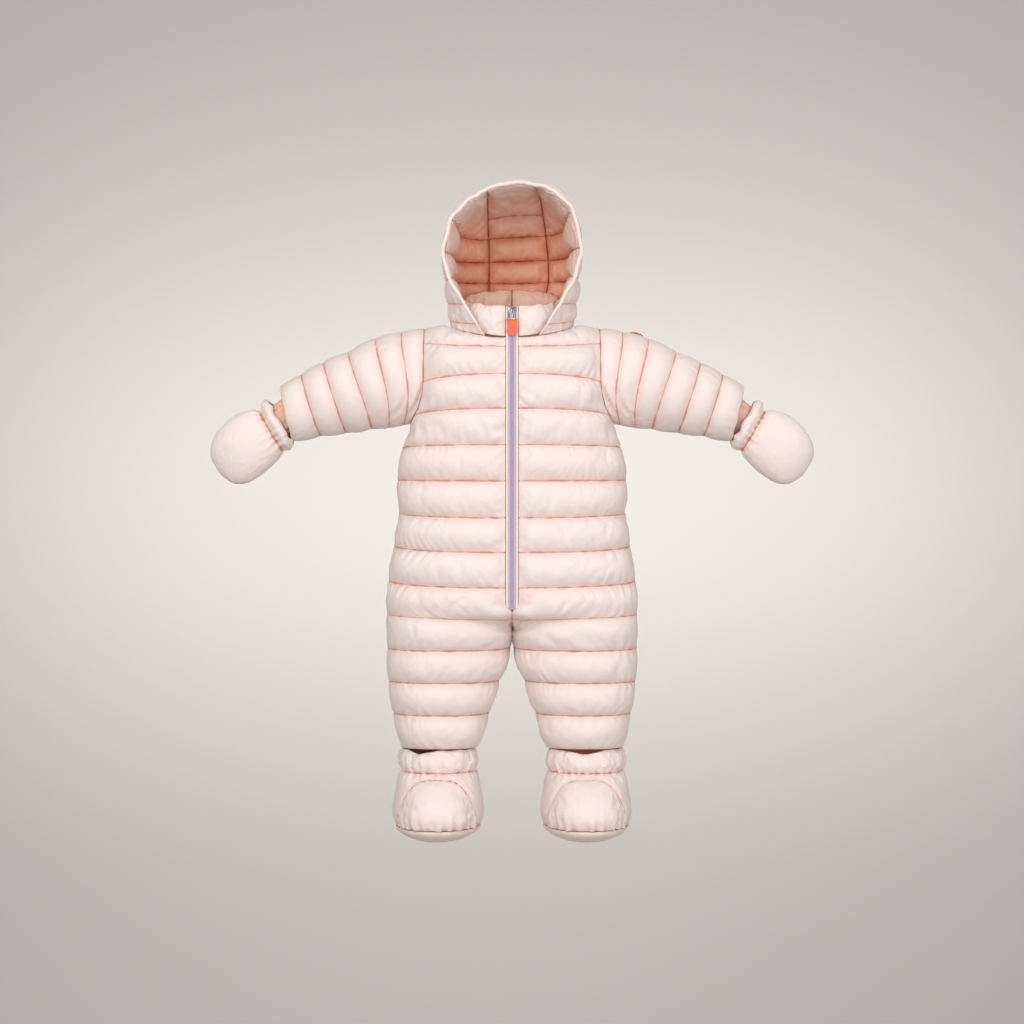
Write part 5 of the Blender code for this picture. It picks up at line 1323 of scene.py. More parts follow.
def tube_piece(name, rings, seam_gap):
    """Solid strip from rings of points, its two ends closed."""
    rows, cols = rings.shape[:2]
    ids = np.arange(rows * cols).reshape(rows, cols)
    faces = quads_of(ids) + [ids[0, :-1].tolist(), ids[-1, :-1].tolist()]
    along = np.zeros((rows, cols))
    along[1:] = np.cumsum(np.linalg.norm(np.diff(rings[:, :1], axis=0), axis=2), axis=0)
    across = np.repeat(np.linspace(0.0, 14.0, cols)[None], rows, axis=0)
    uv = np.stack([along, across], axis=-1).reshape(-1, 2)
    piece = mapped_piece(name, rings.reshape(-1, 3), faces, uv,
                         np.full(rows * cols, seam_gap), np.zeros(rows * cols))
    piece.data.shade_smooth()
    piece.data.set_sharp_from_angle(angle=STRIP_ANGLE)
    return piece


def collar_point(angle, t):
    """Point of the left collar half: angle 0 at the zip, pi at the back, t upward."""
    front = angle < 0.5 * math.pi
    power = 2.0 / COLLAR_POWER if front else 1.0
    across = math.sin(angle) ** power
    along = signed_power(math.cos(angle), power)
    low_y = -along * (COLLAR_FRONT if front else COLLAR_BACK)
    top_y = -along * (COLLAR_TOP_FRONT if front else COLLAR_TOP_BACK)
    low_z = (NECK_Z_FRONT if front else NECK_Z_BACK) * math.cos(angle) ** 2 + COLLAR_LIFT
    top_z = lerp(COLLAR_TOP_Z_FRONT, COLLAR_TOP_Z_BACK, 0.5 - 0.5 * math.cos(angle))
    start = lerp(ZIP_HALF, CENTRE_INSET, angle / math.pi)
    low = Vector((start + (COLLAR_X - start) * across, low_y, low_z))
    top = Vector((start + (COLLAR_TOP_X - start) * across, top_y, top_z))
    return low.lerp(top, t)


class SNOWSUIT_OT_collar(bpy.types.Operator):
    """Padded stand collar in two halves"""
    bl_idname = "snowsuit.collar"
    bl_label = "Collar"

    def execute(self, context):
        sizes = context.scene.snowsuit_sizes
        angles = np.linspace(0.0, math.pi, COLLAR_COLUMNS + 1)
        rows = [0.0, 0.04, 0.1, 0.2, 0.3, 0.4, 0.5, 0.6, 0.7, 0.8, 0.9, 0.96, 1.0]
        grid = as_grid([[collar_point(min(a, math.pi), t) for a in angles] for t in rows])
        n = relaxed(shared_normals((grid,), (1.0,), middle=True)[0], 6)
        heights = channel_heights(grid, rows, (0, 1), 1.0, COLLAR_PUFF, taper=COLLAR_TAPER)
        for at, width, depth in COLLAR_TUCKS:
            heights *= 1.0 - depth * np.exp(-((angles / math.pi - at) / width) ** 2)
        sheets, held = [], held_mask(grid.shape[:2], rows, (0, 1))
        for side, turn in SIDES:
            out, seed = turn(n), len(sheets)
            top = COLLAR_EDGE_WAVE * folds(np.linspace(0.0, 190.0, len(angles)), 24.0, 8 + seed)
            face = turn(grid)
            face[..., 2] += np.outer(np.array(rows) ** 2, top * np.sin(angles) ** 0.3)
            outer = pucker(face + out * heights[..., None], out, rows, (0, 1), COLLAR_PUCKER,
                           91 + seed)
            inner = face - out * (WALL + COLLAR_INNER_SHARE * heights[..., None])
            inner = pucker(inner, -out, rows, (0, 1), COLLAR_PUCKER, 95 + seed)
            flip = side == "right"
            sheets += [Swollen(outer, held, flip), Swollen(inner, held, not flip)]
        swollen = inflate(sheets, sizes.pressure, sizes.growth, COLLAR_SWELL, seed=13)
        gaps = stitch_gaps(grid, rows, (0, 1))
        for k, (side, _) in enumerate(SIDES):
            way = 1.0 if side == "left" else -1.0
            for sheet in swollen[2 * k:2 * k + 2]:
                sheet[..., 0] = way * np.maximum(way * sheet[..., 0], CENTRE_INSET)
            padded_wall("collar_" + side, 0.7, swollen[2 * k], swollen[2 * k + 1],
                        list(range(len(rows))), gaps, lining=COLLAR_TONE)
        return {"FINISHED"}


# ---- cuffs, mittens and booties
def oval(centre, up, up_reach, down_reach, half_y, inset, turns, power=0.92):
    """Oval ring in the plane of up and the depth, from the back over the bottom to the front."""
    cosine, sine = np.cos(turns), np.sin(turns)
    reach = np.where(cosine >= 0.0, up_reach, down_reach) - inset
    rise = reach * signed_power(cosine, power)
    ring = np.array(centre)[None] + np.array(up)[None] * rise[:, None]
    ring[:, 1] -= (half_y - inset) * signed_power(sine, power)
    return ring


def outward(grid):
    """Normals of a tube, pointing out of it, and whether its cells wind the other way."""
    n = shared_normals((grid,), (1.0,))[0]
    wrong = np.sum(n * (grid - grid.mean(axis=1, keepdims=True))) < 0.0
    return (-n if wrong else n), bool(wrong)


def smooth_rows(table, per_row):
    return [k / per_row for k in range((len(table) - 1) * per_row + 1)]


class SNOWSUIT_OT_inner_cuffs(bpy.types.Operator):
    """Plain inner cuffs between the sleeves and the mittens"""
    bl_idname = "snowsuit.inner_cuffs"
    bl_label = "Inner cuffs"

    def execute(self, context):
        turns = np.linspace(-0.5 * math.pi, 1.5 * math.pi, TUBE_COLUMNS + 1)
        grid = []
        for at in smooth_rows(INNER_CUFF, CUFF_FINENESS):
            x, z, half_z, half_y, lean = (table_value(INNER_CUFF, c, at) for c in Tube._fields)
            lean = math.radians(lean)
            up = (math.sin(lean), 0.0, math.cos(lean))
            sag = CUFF_SAG * min(1.0, at)
            grid.append(oval((x, 0.0, z), up, half_z, half_z + sag, half_y, 0.0, turns, 1.0))
        grid = np.array(grid)
        n, _ = outward(grid)
        for seed, side, turn in ((61, "left", np.copy), (62, "right", mirrored)):
            points, out = turn(grid), unit(turn(n))
            ends = np.minimum(row_gaps(points, 0), row_gaps(points, -1))
            points = gather(points, out, len(points) // 2, np.zeros_like(ends), CUFF_GATHER, seed)
            inner = points - out * CUFF_WALL
            # painted shade: the outer face of the inner cuff gets the deeper lining tone, and its
            # ends the stitch-line shade
            piece = cloth_piece("cloth_inner_cuff_" + side, points, inner,
                                list(range(len(points))), np.minimum(ends, 9.0) + 1.0,
                                closed=True, lining=LINING_TONE, finer=False,
                                outer_tone=CUFF_SHADE_TONE)
            piece.data.materials.append(shell_material())
            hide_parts("inner_cuff_" + side)
            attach(piece, "suit")
        return {"FINISHED"}


class SNOWSUIT_OT_mittens(bpy.types.Operator):
    """Padded mittens with a ruffled cuff drawn in by elastic"""
    bl_idname = "snowsuit.mittens"
    bl_label = "Mittens"

    def execute(self, context):
        sizes = context.scene.snowsuit_sizes
        lean = math.radians(MITTEN_LEAN)
        along = np.array([math.cos(lean), 0.0, -math.sin(lean)])
        up = np.array([math.sin(lean), 0.0, math.cos(lean)])
        start = np.array([MITTEN_X, 0.0, MITTEN_Z])
        turns = np.linspace(-0.5 * math.pi, 1.5 * math.pi, TUBE_COLUMNS + 1)
        rings = [[table_value(MITTEN, c, at) for c in Pouch._fields]
                 for at in smooth_rows(MITTEN, MITTEN_FINENESS)]
        last = rings[-1]
        for t in (0.3, 0.55, 0.75, 0.9):
            size = math.cos(0.5 * math.pi * t)
            rings.append([lerp(last[0], MITTEN_TIP, math.sin(0.5 * math.pi * t)), last[1] * size,
                          last[2] * size, last[3] * size, last[4]])
        outer, inner = [], []
        for reach, above, below, depth, wall in rings:
            back = min(wall, TIP_BACK_SHARE * max(0.0, reach - TIP_BACK_START))
            outer.append(oval(start + along * reach, up, above, below, depth, 0.0, turns))
            thick = min(wall, 0.5 * depth)
            inner.append(oval(start + along * (reach - back), up, above, below, depth, thick,
                              turns))
        for grid, tip in ((outer, MITTEN_TIP), (inner, MITTEN_TIP - TIP_WALL)):
            grid.append(np.repeat([start + along * tip], TUBE_COLUMNS + 1, axis=0))
        outer, inner = np.array(outer), np.array(inner)
        plain = [0] + list(range(2, len(outer) - 1, 3)) + [len(outer) - 1]
        n, flip = outward(outer)
        n = relaxed(n, 3, closed=True)
        elastic = ELASTIC_ROW * MITTEN_FINENESS
        seams = (TUBE_COLUMNS // 4, 3 * TUBE_COLUMNS // 4)
        held = np.zeros(outer.shape[:2], dtype=bool)
        held[[0, elastic, -1]] = True
        held[:, [0, seams[0], seams[1], -1]] = True
        ring_gaps = row_gaps(outer, elastic)
        gaps = ring_gaps
        for c in seams:
            beyond = column_gaps(outer, c)
            beyond[:elastic + 14] = FAR
            gaps = np.minimum(gaps, beyond)
        sheets = [Swollen(turn(outer) - unit(turn(n)) * MITTEN_BACK, held,
                          flip != (side == "right")) for side, turn in SIDES]
        swollen = inflate(sheets, sizes.pressure, SMALL_GROWTH, MITTEN_SWELL, seed=14)
        for k, (side, turn) in enumerate(SIDES):
            out = unit(turn(n))
            points = gather(swollen[k], out, elastic, ring_gaps, MITTEN_GATHER, 31 + k)
            points = pucker_columns(points, out, seams, MITTEN_PUCKER, 33 + k)
            ruffle = folds(np.linspace(0.0, 200.0, TUBE_COLUMNS + 1), 26.0, 35 + k)
            ruffle[-1] = ruffle[0]
            move = (ruffle * RUFFLE_WAVE - RUFFLE_BACK)[:, None] * turn(along[None])[0]
            for r in range(elastic):
                points[r] += move * (1.0 - r / elastic)
            points[:, -1] = points[:, 0]
            inside = turn(inner)[plain]
            for at, r in enumerate(plain):
                inside[at] += move * max(0.0, 1.0 - r / elastic)
            padded_wall("mitten_" + side, 0.7, points, inside, plain, gaps, closed=True,
                        tip=True, lining=LINING_TONE)
        return {"FINISHED"}


def boot_outline(angles, half_x, toe, heel, z, wave=0.0):
    """Outline of a bootie at one level, at angles in degrees from the toe."""
    turn = np.radians(angles)
    reach = np.where(np.cos(turn) >= 0.0, toe, heel) + wave
    return np.stack([BOOT_X + half_x * signed_power(np.sin(turn), BOOT_POWER),
                     -reach * signed_power(np.cos(turn), BOOT_POWER),
                     np.broadcast_to(z, angles.shape)], axis=1)


def boot_ring(angles, at, inset=0.0):
    """Points of a bootie at angles in degrees from the toe, at one row number each."""
    at = np.broadcast_to(at, angles.shape)
    z, half_x, toe, heel, wall = (np.array([table_value(BOOT, c, a) for a in at])
                                  for c in Boot._fields)
    inset = inset * wall
    return boot_outline(angles, half_x - inset, toe - inset, heel - inset, z)


def toe_seam(angles):
    """Row of BOOT at which the toe cap begins."""
    share = np.minimum(1.0, np.abs(angles) / TOE_CAP_ANGLE)
    return TOE_SEAM_TOP + (TOE_SEAM_END - TOE_SEAM_TOP) * share ** TOE_SEAM_BEND


class SNOWSUIT_OT_booties(bpy.types.Operator):
    """Booties with a ruffled cuff, a toe cap and a soft sole"""
    bl_idname = "snowsuit.booties"
    bl_label = "Booties"

    def execute(self, context):
        sizes = context.scene.snowsuit_sizes
        last = float(len(BOOT) - 1)
        angles = np.linspace(180.0, -180.0, BOOT_COLUMNS + 1)
        ends = np.where(np.abs(angles) <= TOE_CAP_ANGLE, toe_seam(angles) - TOE_SEAM_GAP, last)
        instep, instep_rows = ELASTIC_ROW + 1.0, smooth_rows(BOOT[:ELASTIC_ROW + 2], BOOT_FINENESS)
        levels = [np.full(len(angles), at) for at in instep_rows[:-1]]
        levels += [instep + (ends - instep) * t for t in np.linspace(0.0, 1.0, 19)]
        upper = np.array([boot_ring(angles, at) for at in levels])
        lining = np.array([boot_ring(angles, at, 1.0) for at in levels])
        n, flip = outward(upper)
        n = relaxed(n, 3, closed=True)
        elastic = ELASTIC_ROW * BOOT_FINENESS
        held = np.zeros(upper.shape[:2], dtype=bool)
        held[[0, elastic, -1]] = held[:, [0, -1]] = True
        cap_angles = np.linspace(TOE_CAP_ANGLE, -TOE_CAP_ANGLE, TOE_COLUMNS + 1)
        steps = [0.0, 0.03, 0.08] + [0.15 + 0.077 * k for k in range(11)] + [0.97, 1.0]
        top = toe_seam(cap_angles) + TOE_SEAM_GAP
        cap, cap_lining = (np.array([boot_ring(cap_angles, top + (last - top) * t, inset)
                                     for t in steps]) for inset in (0.0, 1.0))
        cap_n = relaxed(shared_normals((cap,), (-1.0 if flip else 1.0,))[0], 2)
        cap_held = held_mask(cap.shape[:2], steps, (0, 1))
        bulge = channel_heights(cap, steps, (0, 1), TOE_PUFF_RATIO, TOE_PUFF, taper=TOE_TAPER)
        sheets = []
        for side, turn in SIDES:
            out, cap_out, winding = unit(turn(n)), unit(turn(cap_n)), flip != (side == "right")
            sheets += [Swollen(turn(upper) - out * BOOT_BACK, held, winding),
                       Swollen(turn(cap) + cap_out * bulge[..., None], cap_held, winding)]
        swollen = inflate(sheets, sizes.pressure, SMALL_GROWTH, BOOT_SWELL, seed=15)
        low_gap = row_gaps(upper, elastic)
        gaps = np.minimum(low_gap, row_gaps(upper, -1))
        cap_gaps = stitch_gaps(cap, steps, (0, 1))
        plain = list(range(0, len(levels), 3))
        cap_plain = list(range(0, len(steps), 3))
        for k, ((side, turn), slit) in enumerate(zip(SIDES, SLITS)):
            out, cap_out = unit(turn(n)), unit(turn(cap_n))
            points = gather(swollen[2 * k], out, elastic, low_gap, BOOT_GATHER, 41 + k)
            frill = folds(np.linspace(0.0, 300.0, len(angles)), 30.0, 43 + k)
            frill[-1] = frill[0]
            opening = np.clip(1.0 - np.abs((angles - slit.angle) / slit.spread), 0.0, 1.0) ** 0.7
            edge = CUFF_RISE * (1.0 - 1.3 * opening) + (0.7 + 0.6 * opening) * frill
            for r in range(elastic):
                share = 1.0 - r / elastic
                points[r, :, 2] += edge * share ** 2
                points[r] += out[r] * (0.8 * frill * share)[:, None]
            points[:, -1] = points[:, 0]
            inside = turn(lining)[plain]
            for at, r in enumerate(plain):
                inside[at, :, 2] += edge * max(0.0, 1.0 - r / elastic) ** 2
            padded_wall("bootie_" + side, 0.7, points, inside, plain, gaps, closed=True,
                        lining=LINING_TONE)
            points = gather(swollen[2 * k + 1], cap_out, len(steps) - 1, row_gaps(cap, -1),
                            TOE_GATHER, 45 + k)
            points = pucker(points, cap_out, steps, (0, 1), TOE_PUCKER, 47 + k)
            padded_wall("toe_cap_" + side, 0.7, points, turn(cap_lining)[cap_plain], cap_plain,
                        cap_gaps)
            self.make_sole(side, turn, angles, 51 + k)
        return {"FINISHED"}

    def make_sole(self, side, turn, angles, seed):
        """Soft sole as rings from its hidden top over the rounded edge to its middle."""
        def drawn_in(ring, share, z):
            smaller = ring.copy()
            middle = np.array([BOOT_X, SOLE_MIDDLE_Y])
            smaller[:, :2] = middle + (ring[:, :2] - middle) * share
            smaller[:, 2] = z
            return smaller

        wave = folds(np.linspace(0.0, 330.0, len(angles)), 17.0, seed)
        wave[-1] = wave[0]
        first = boot_ring(angles, float(len(BOOT) - 1))
        rings = [drawn_in(first, share, SOLE[0].z) for share in (0.25, 0.7, 0.95)]
        for number, level in enumerate(SOLE):
            half_x, toe, heel = (getattr(BOOT[-1], c) - level.inset
                                 for c in ("half_x", "toe", "heel"))
            rings.append(boot_outline(angles, half_x, toe, heel, level.z,
                                      SOLE_WAVE * wave * (1 <= number <= 4)))
        for share in (0.6, 0.3):
            rings.append(drawn_in(rings[-1], share, SOLE[-1].z))
        # the sole's fixed stitch distance gives it a little of the painted valley shade
        padded_strip("sole_" + side, turn(np.array(rings)), 3.0)


# ---- zip, slider, pull and badge
def zip_path():
    """Points (y, z) in the middle of the front, from the collar's top down to the zip's end."""
    points = []
    for t in np.linspace(1.0, 0.0, 13):
        p = collar_point(0.0, t)
        points.append((p.y, min(p.z, ZIP_TOP_Z)))
    points += [tuple(body_point(0.0, v, -1))[1:] for v in np.arange(1.0, ZIP_LAST_ROW, 0.08)]
    points = np.array(points)
    keep = [0] + [i for i in range(1, len(points)) if points[i, 1] < points[i - 1, 1] - 0.3]
    points = points[keep]
    calmed(points, 3)
    return points, run_of(points)


def along_zip(distance):
    """Places at distances down the zip: point, direction down it and direction out of it."""
    points, run = zip_path()
    y, z = np.interp(distance, run, points[:, 0]), np.interp(distance, run, points[:, 1])
    place = np.stack([np.zeros_like(y), y, z], axis=-1)
    tangent = unit(np.gradient(place, axis=0))
    out = np.stack([np.zeros_like(y), tangent[:, 2], -tangent[:, 1]], axis=-1)
    return place, tangent, out


def last_made(name):
    """The object that the last modelling step left active, renamed."""
    made = bpy.context.active_object
    made.name = made.data.name = name
    return made


class SNOWSUIT_OT_zip(bpy.types.Operator):
    """Zip tape and teeth, and the piping on both sides of it"""
    bl_idname = "snowsuit.zip"
    bl_label = "Zip and piping"

    def execute(self, context):
        colours = context.scene.snowsuit_colours
        end = zip_path()[1][-1]
        tape = self.make_tape(end)
        tape.data.materials.append(trim_material("zip_tape_weave", colours.zip_tape, 0.7, 900.0,
                                                 0.14, 0.0002))
        teeth = self.make_teeth(end)
        teeth.data.materials.append(trim_material("zip_teeth_nylon", colours.zip_teeth, 0.35,
                                                  300.0, 0.14, 0.0001))
        for piece in (tape, teeth):
            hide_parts("zip_coil")
            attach(piece, "suit")
        for side, way in (("left", 1.0), ("right", -1.0)):
            self.make_piping(side, way, end)
        return {"FINISHED"}

    def make_tape(self, end):
        distance = np.linspace(0.0, end, 150)
        place, _, out = along_zip(distance)
        to_end = np.clip((distance - end + TAPE_END) / TAPE_END, 0.0, 1.0)
        narrow = 1.0 - TAPE_END_SHARE * to_end ** 2
        section = (*TAPE_SECTION, TAPE_SECTION[0])
        rings = np.array([[p + np.array([x * w, 0.0, 0.0]) + o * d for x, d in section]
                          for p, o, w in zip(place, out, narrow)])
        return tube_piece("zip_tape", rings, 3.0)

    def make_teeth(self, end):
        """Loops of the coil from both sides, every second one from the left."""
        tooth = self.model_tooth()
        spots = np.arange(2.0, end - 1.5, TOOTH_PITCH)
        place, down, out = along_zip(spots)
        verts = np.array([tuple(v.co) for v in tooth.data.vertices]) / MM
        faces = [list(f.vertices) for f in tooth.data.polygons]
        all_verts, all_faces = [], []
        for k in range(len(spots)):
            for way in (-1.0, 1.0):
                shape = verts * np.array([way, 1.0, way])
                base = len(all_verts) * len(verts)
                turned = (shape[:, :1] * np.array([1.0, 0.0, 0.0]) + shape[:, 1:2] * -out[k]
                          + shape[:, 2:] * -down[k])
                all_verts.append(turned + (place[k] + down[k] * (0.25 * TOOTH_PITCH * way)))
                all_faces += [[base + i for i in face] for face in faces]
        mesh = bpy.data.meshes.new("zip_teeth")
        mesh.from_pydata((np.concatenate(all_verts) * MM).tolist(), [], all_faces)
        mesh.shade_smooth()
        bpy.data.objects.remove(tooth, do_unlink=True)
        return new_object("zip_teeth", mesh)

    def model_tooth(self):
        """One loop of the coil, lying across the tape: a bar with rounded ends."""
        tooth = block("tooth", TOOTH_SIZE, TOOTH_CENTRE)
        bpy.ops.object.mode_set(mode="EDIT")
        bpy.ops.mesh.select_all(action="SELECT")
        bpy.ops.mesh.bevel(offset=TOOTH_BEVEL * MM, segments=1, affect="EDGES")
        bpy.ops.object.mode_set(mode="OBJECT")
        return tooth

    def make_piping(self, side, way, end):
        distance = np.linspace(0.0, end - 2.0, 210)
        place, _, out = along_zip(distance)
        wave = PIPING_WAVE * folds(distance, 5.0, 55 + int(way))
        turns = np.linspace(0.0, 2.0 * math.pi, SMALL_COLUMNS + 1)
        rings = []
        for p, o, w, d in zip(place, out, wave, distance):
            to_end = max(0.0, (d - end + PIPING_END) / PIPING_END)
            x = way * (PIPING_X - PIPING_CLOSE * to_end ** 2)
            size = PIPING_RADIUS + w
            rings.append([p + np.array([x + size * math.cos(t), 0.0, 0.0])
                          + o * (PIPING_LIFT + size * math.sin(t)) for t in turns])
        padded_strip("piping_" + side, np.array(rings), TRIM_SHADE_GAP)


def block(name, size, centre, bevel=0.0, segments=2):
    """Box with its middle at centre and, if asked, rounded edges. All in millimetres."""
    bpy.ops.object.select_all(action="DESELECT")
    bpy.ops.mesh.primitive_cube_add(size=1.0, location=(0.0, 0.0, 0.0))
    made = last_made(name)
    made.scale = [v * MM for v in size]
    made.location = [v * MM for v in centre]
    bpy.ops.object.transform_apply(location=True, rotation=False, scale=True)
    if bevel:
        round_edges(made, bevel, segments)
    return made


def round_edges(made, width, segments, angle=30.0):
    make_active(made)
    edge = made.modifiers.new("rounded", "BEVEL")
    edge.width = width * MM
    edge.segments = segments
    edge.limit_method = "ANGLE"
    edge.angle_limit = math.radians(angle)
    bpy.ops.object.modifier_apply(modifier=edge.name)


def edit_below(made, z):
    """Open a piece in edit mode with what lies under a height selected."""
    mesh = made.data
    for vert in mesh.vertices:
        vert.select = vert.co.z < z * MM
    for part in (*mesh.edges, *mesh.polygons):
        part.select = all(mesh.vertices[v].select for v in part.vertices)
    bpy.ops.object.mode_set(mode="EDIT")


def combine(made, tool, operation):
    """Join a tool to a piece or cut it out, and drop the tool."""
    make_active(made)
    cut = made.modifiers.new("combined", "BOOLEAN")
    cut.operation = operation
    cut.solver = "EXACT"
    cut.object = tool
    bpy.ops.object.modifier_apply(modifier=cut.name)
    bpy.data.objects.remove(tool, do_unlink=True)


def finish_hard(made, material, node_name, body):
    mesh = made.data
    mesh.materials.clear()
    mesh.materials.append(material)
    mesh.shade_smooth()
    mesh.set_sharp_from_angle(angle=HARD_ANGLE)
    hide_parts(node_name)
    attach(made, body)


class SNOWSUIT_OT_pull(bpy.types.Operator):
    """Zip slider with its bridge, the wire link and the rubber pull tab"""
    bl_idname = "snowsuit.pull"
    bl_label = "Slider and pull"

    def execute(self, context):
        colours = context.scene.snowsuit_colours
        metal = trim_material("dark_steel", colours.metal, 0.24, 420.0, 0.35, 0.00005, 1.0)
        _, y, z = HINGE
        back = y + 0.5 * BRIDGE_RISE
        slider = block("slider", (SLIDER_WIDTH, SLIDER_THICK, SLIDER_HEIGHT),
                       (0.0, back + 0.5 * SLIDER_THICK, SLIDER_Z))
        edit_below(slider, SLIDER_Z)
        bpy.ops.transform.resize(value=(SLIDER_NARROWS, 1.0, 1.0),
                                 center_override=(0.0, y * MM, SLIDER_Z * MM))
        bpy.ops.object.mode_set(mode="OBJECT")
        round_edges(slider, SLIDER_ROUND, 3)
        low, high = SLIDER_Z - 0.5 * BRIDGE_DROP, SLIDER_Z + 0.5 * BRIDGE_DROP
        reach = BRIDGE_RISE + BRIDGE_BAR
        bridge = block("bridge", (2.0 * BRIDGE_HALF, reach + 0.5, high - low),
                       (0.0, back + 0.25 - 0.5 * reach, 0.5 * (low + high)))
        hole = block("bridge_hole", (4.0 * BRIDGE_HALF, BRIDGE_RISE, high - low - 2 * BRIDGE_BAR),
                     (0.0, back - 0.5 * BRIDGE_RISE, 0.5 * (low + high)))
        combine(bridge, hole, "DIFFERENCE")
        round_edges(bridge, BRIDGE_ROUND, 2)
        combine(slider, bridge, "UNION")
        finish_hard(slider, metal, "zip_slider", "suit")

        middle = z + 0.5 * LINK_WIRE - 0.5 * LINK_LENGTH
        link = block("link", (2.0 * LINK_HALF_WIDTH, LINK_WIRE, LINK_LENGTH), (0.0, y, middle))
        hole = block("link_hole", (2.0 * (LINK_HALF_WIDTH - LINK_WIRE), 4.0 * LINK_WIRE,
                                   LINK_LENGTH - 2.0 * LINK_WIRE), (0.0, y, middle), 0.9, 3)
        combine(link, hole, "DIFFERENCE")
        round_edges(link, LINK_ROUND, 3, angle=60.0)
        finish_hard(link, metal, "pull_link", "pull")
        self.make_tab(colours.pull)
        return {"FINISHED"}

    def make_tab(self, colour):
        """Tab grown downward row by row, notched for the link and rounded."""
        _, y, z = HINGE
        top = z - TAB_TOP_DROP
        stops = [(at, TAB_WIDTH - narrower) for at, narrower in TAB_OUTLINE]
        height = (stops[1][0] - stops[0][0]) * TAB_LENGTH
        tab = block("tab", (stops[0][1], TAB_THICK, height), (0.0, y, top - 0.5 * height))
        edit_below(tab, top - 0.5 * height)
        bpy.ops.transform.resize(value=(stops[1][1] / stops[0][1], 1.0, 1.0),
                                 center_override=(0.0, y * MM, top * MM))
        for (at, wide), (low, narrow) in zip(stops[1:], stops[2:]):
            bpy.ops.mesh.extrude_region_move(
                TRANSFORM_OT_translate={"value": (0.0, 0.0, (at - low) * TAB_LENGTH * MM)})
            bpy.ops.transform.resize(value=(narrow / wide, 1.0, 1.0),
                                     center_override=(0.0, y * MM, top * MM))
        bpy.ops.object.mode_set(mode="OBJECT")
        half = LINK_HALF_WIDTH + TAB_NOTCH_GAP
        notch = block("tab_notch", (2.0 * half, 3.0 * TAB_THICK, 2.0 * TAB_NOTCH_DEPTH),
                      (0.0, y, top), 0.5, 2)
        combine(tab, notch, "DIFFERENCE")
        round_edges(tab, TAB_ROUND, 3, angle=40.0)
        rubber = trim_material("tab_rubber", colour, 0.42, 700.0, 0.1, 0.0001)
        finish_hard(tab, rubber, "pull_tab", "pull")


class SNOWSUIT_OT_badge(bpy.types.Operator):
    """Bare round badge on the sleeve"""
    bl_idname = "snowsuit.badge"
    bl_label = "Badge"

    def execute(self, context):
        angle = math.radians(BADGE_ANGLE)
        middle = sleeve_point(BADGE_ROW, angle)
        along = (sleeve_point(BADGE_ROW + 0.1, angle) - middle).normalized()
        out = along.cross(sleeve_point(BADGE_ROW, angle + 0.1) - middle).normalized()
        out = out if out.z > 0.0 else -out
        side = out.cross(along)
        middle += out * (BADGE_RISE * sleeve_share(angle) + BADGE_LIFT)
        bpy.ops.object.select_all(action="DESELECT")
        bpy.ops.mesh.primitive_cylinder_add(vertices=BADGE_SIDES, radius=BADGE_RADIUS * MM,
                                            depth=BADGE_THICK * MM,
                                            location=(0.0, 0.0, 0.5 * BADGE_THICK * MM))
        badge = last_made("badge_disc")
        bpy.ops.object.transform_apply(location=True, rotation=False, scale=False)
        for face in badge.data.polygons:
            face.select = face.normal.z > 0.9
        bpy.ops.object.mode_set(mode="EDIT")
        bpy.ops.mesh.select_mode(type="FACE")
        bpy.ops.mesh.inset(thickness=BADGE_RIM * MM)
        bpy.ops.transform.translate(value=(0.0, 0.0, -BADGE_DISH * MM))
        bpy.ops.object.mode_set(mode="OBJECT")
        round_edges(badge, 0.22, 2)
        badge.matrix_world = Matrix((
            (along.x, side.x, out.x, middle.x * MM), (along.y, side.y, out.y, middle.y * MM),
            (along.z, side.z, out.z, middle.z * MM), (0.0, 0.0, 0.0, 1.0)))
        bpy.ops.object.transform_apply(location=True, rotation=True, scale=True)
        felt = trim_material("badge_felt", context.scene.snowsuit_colours.badge, 0.75, 1100.0,
                             0.14, 0.0002)
        finish_hard(badge, felt, "badge", "suit")
        return {"FINISHED"}


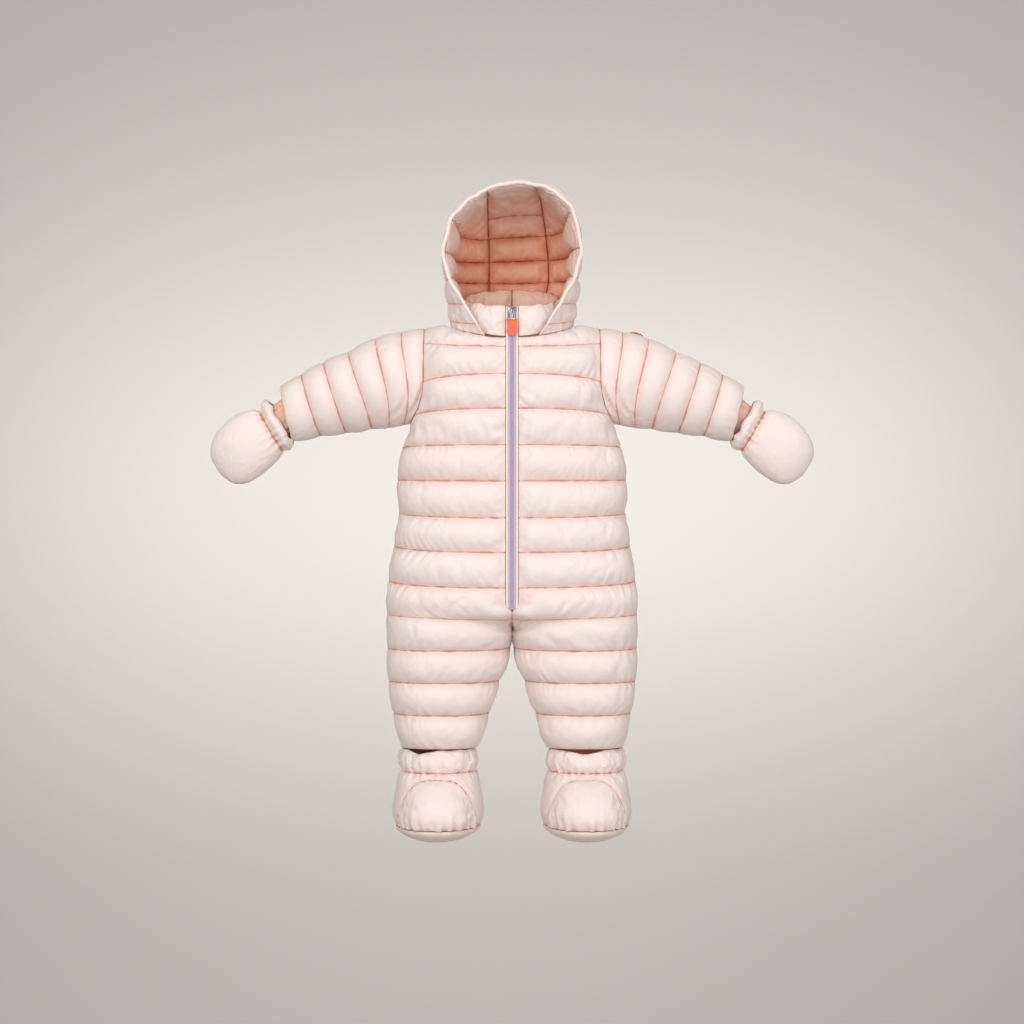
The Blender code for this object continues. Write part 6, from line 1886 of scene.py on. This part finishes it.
# ---- studio
class SNOWSUIT_OT_studio(bpy.types.Operator):
    """Pale backdrop, soft lights and the camera"""
    bl_idname = "snowsuit.studio"
    bl_label = "Studio"

    def execute(self, context):
        scene = context.scene
        scene.view_settings.view_transform = "Standard"
        bpy.ops.object.select_all(action="DESELECT")
        profile = [(FLOOR_FRONT, FLOOR_Z), (SWEEP_Y, FLOOR_Z)]
        for k in range(SMALL_COLUMNS + 1):
            turn = 0.5 * math.pi * k / SMALL_COLUMNS
            profile.append((SWEEP_Y + SWEEP * math.sin(turn),
                            FLOOR_Z + SWEEP * (1.0 - math.cos(turn))))
        profile.append((SWEEP_Y + SWEEP, BACKDROP_TOP))
        verts = [(x, y, z) for y, z in profile for x in (-BACKDROP_HALF, BACKDROP_HALF)]
        faces = [(2 * i, 2 * i + 1, 2 * i + 3, 2 * i + 2) for i in range(len(profile) - 1)]
        mesh = bpy.data.meshes.new("backdrop")
        mesh.from_pydata(verts, [], faces)
        mesh.shade_smooth()
        paper, _, shader = new_material("paper_backdrop", roughness=1.0)
        shader.inputs["Base Color"].default_value = PAPER
        shader.inputs["Specular IOR Level"].default_value = 0.0
        mesh.materials.append(paper)
        new_object("backdrop", mesh)
        for name, where, aim, size, watts, tint in SOFTBOXES:
            data = bpy.data.lights.new(name, "AREA")
            data.shape = "RECTANGLE"
            data.size, data.size_y = size
            data.energy, data.color = watts, tint
            lamp = new_object(name, data)
            lamp.location = where
            lamp.rotation_euler = (Vector(aim) - Vector(where)).to_track_quat("-Z", "Y").to_euler()
        for x, watts in LEG_GLOWS:
            data = bpy.data.lights.new("leg_glow", "POINT")
            data.energy, data.shadow_soft_size, data.color = watts, 0.01, LEG_GLOW_COLOUR
            new_object("leg_glow", data).location = (x, 0.01, -0.52)
        scene.world = bpy.data.worlds.new("studio_air")
        scene.world.use_nodes = True
        air = scene.world.node_tree.nodes["Background"]
        air.inputs["Color"].default_value, air.inputs["Strength"].default_value = AIR, AIR_STRENGTH
        data = bpy.data.cameras.new("camera")
        data.sensor_width = SENSOR
        data.lens = 0.5 * SENSOR / math.tan(0.5 * math.radians(VIEW_ANGLE))
        scene.camera = new_object("camera", data)
        scene.camera.location = CAMERA
        scene.camera.rotation_euler = (math.pi / 2.0, 0.0, 0.0)
        return {"FINISHED"}


class SNOWSUIT_PT_panel(bpy.types.Panel):
    """Sizes, colours and steps of the snowsuit"""
    bl_label = "Snowsuit"
    bl_idname = "SNOWSUIT_PT_panel"
    bl_space_type = "VIEW_3D"
    bl_region_type = "UI"
    bl_category = "Snowsuit"

    def draw(self, context):
        for group in (context.scene.snowsuit_sizes, context.scene.snowsuit_colours):
            for key in group.__annotations__:
                self.layout.prop(group, key)
        for step in STEPS:
            self.layout.operator(step.bl_idname)


STEPS = (SNOWSUIT_OT_studio, SNOWSUIT_OT_body, SNOWSUIT_OT_hood, SNOWSUIT_OT_collar,
         SNOWSUIT_OT_inner_cuffs, SNOWSUIT_OT_mittens, SNOWSUIT_OT_booties, SNOWSUIT_OT_zip,
         SNOWSUIT_OT_pull, SNOWSUIT_OT_badge)
GROUPS = (SnowsuitColours, SnowsuitSizes)


def register():
    for kind in (*GROUPS, *STEPS, SNOWSUIT_PT_panel):
        bpy.utils.register_class(kind)
    bpy.types.Scene.snowsuit_colours = bpy.props.PointerProperty(type=SnowsuitColours)
    bpy.types.Scene.snowsuit_sizes = bpy.props.PointerProperty(type=SnowsuitSizes)


def unregister():
    del bpy.types.Scene.snowsuit_sizes
    del bpy.types.Scene.snowsuit_colours
    for kind in reversed((*GROUPS, *STEPS, SNOWSUIT_PT_panel)):
        bpy.utils.unregister_class(kind)


def main():
    register()
    for step in STEPS:
        group, action = step.bl_idname.split(".")
        getattr(getattr(bpy.ops, group), action)()


if __name__ == "__main__":
    main()
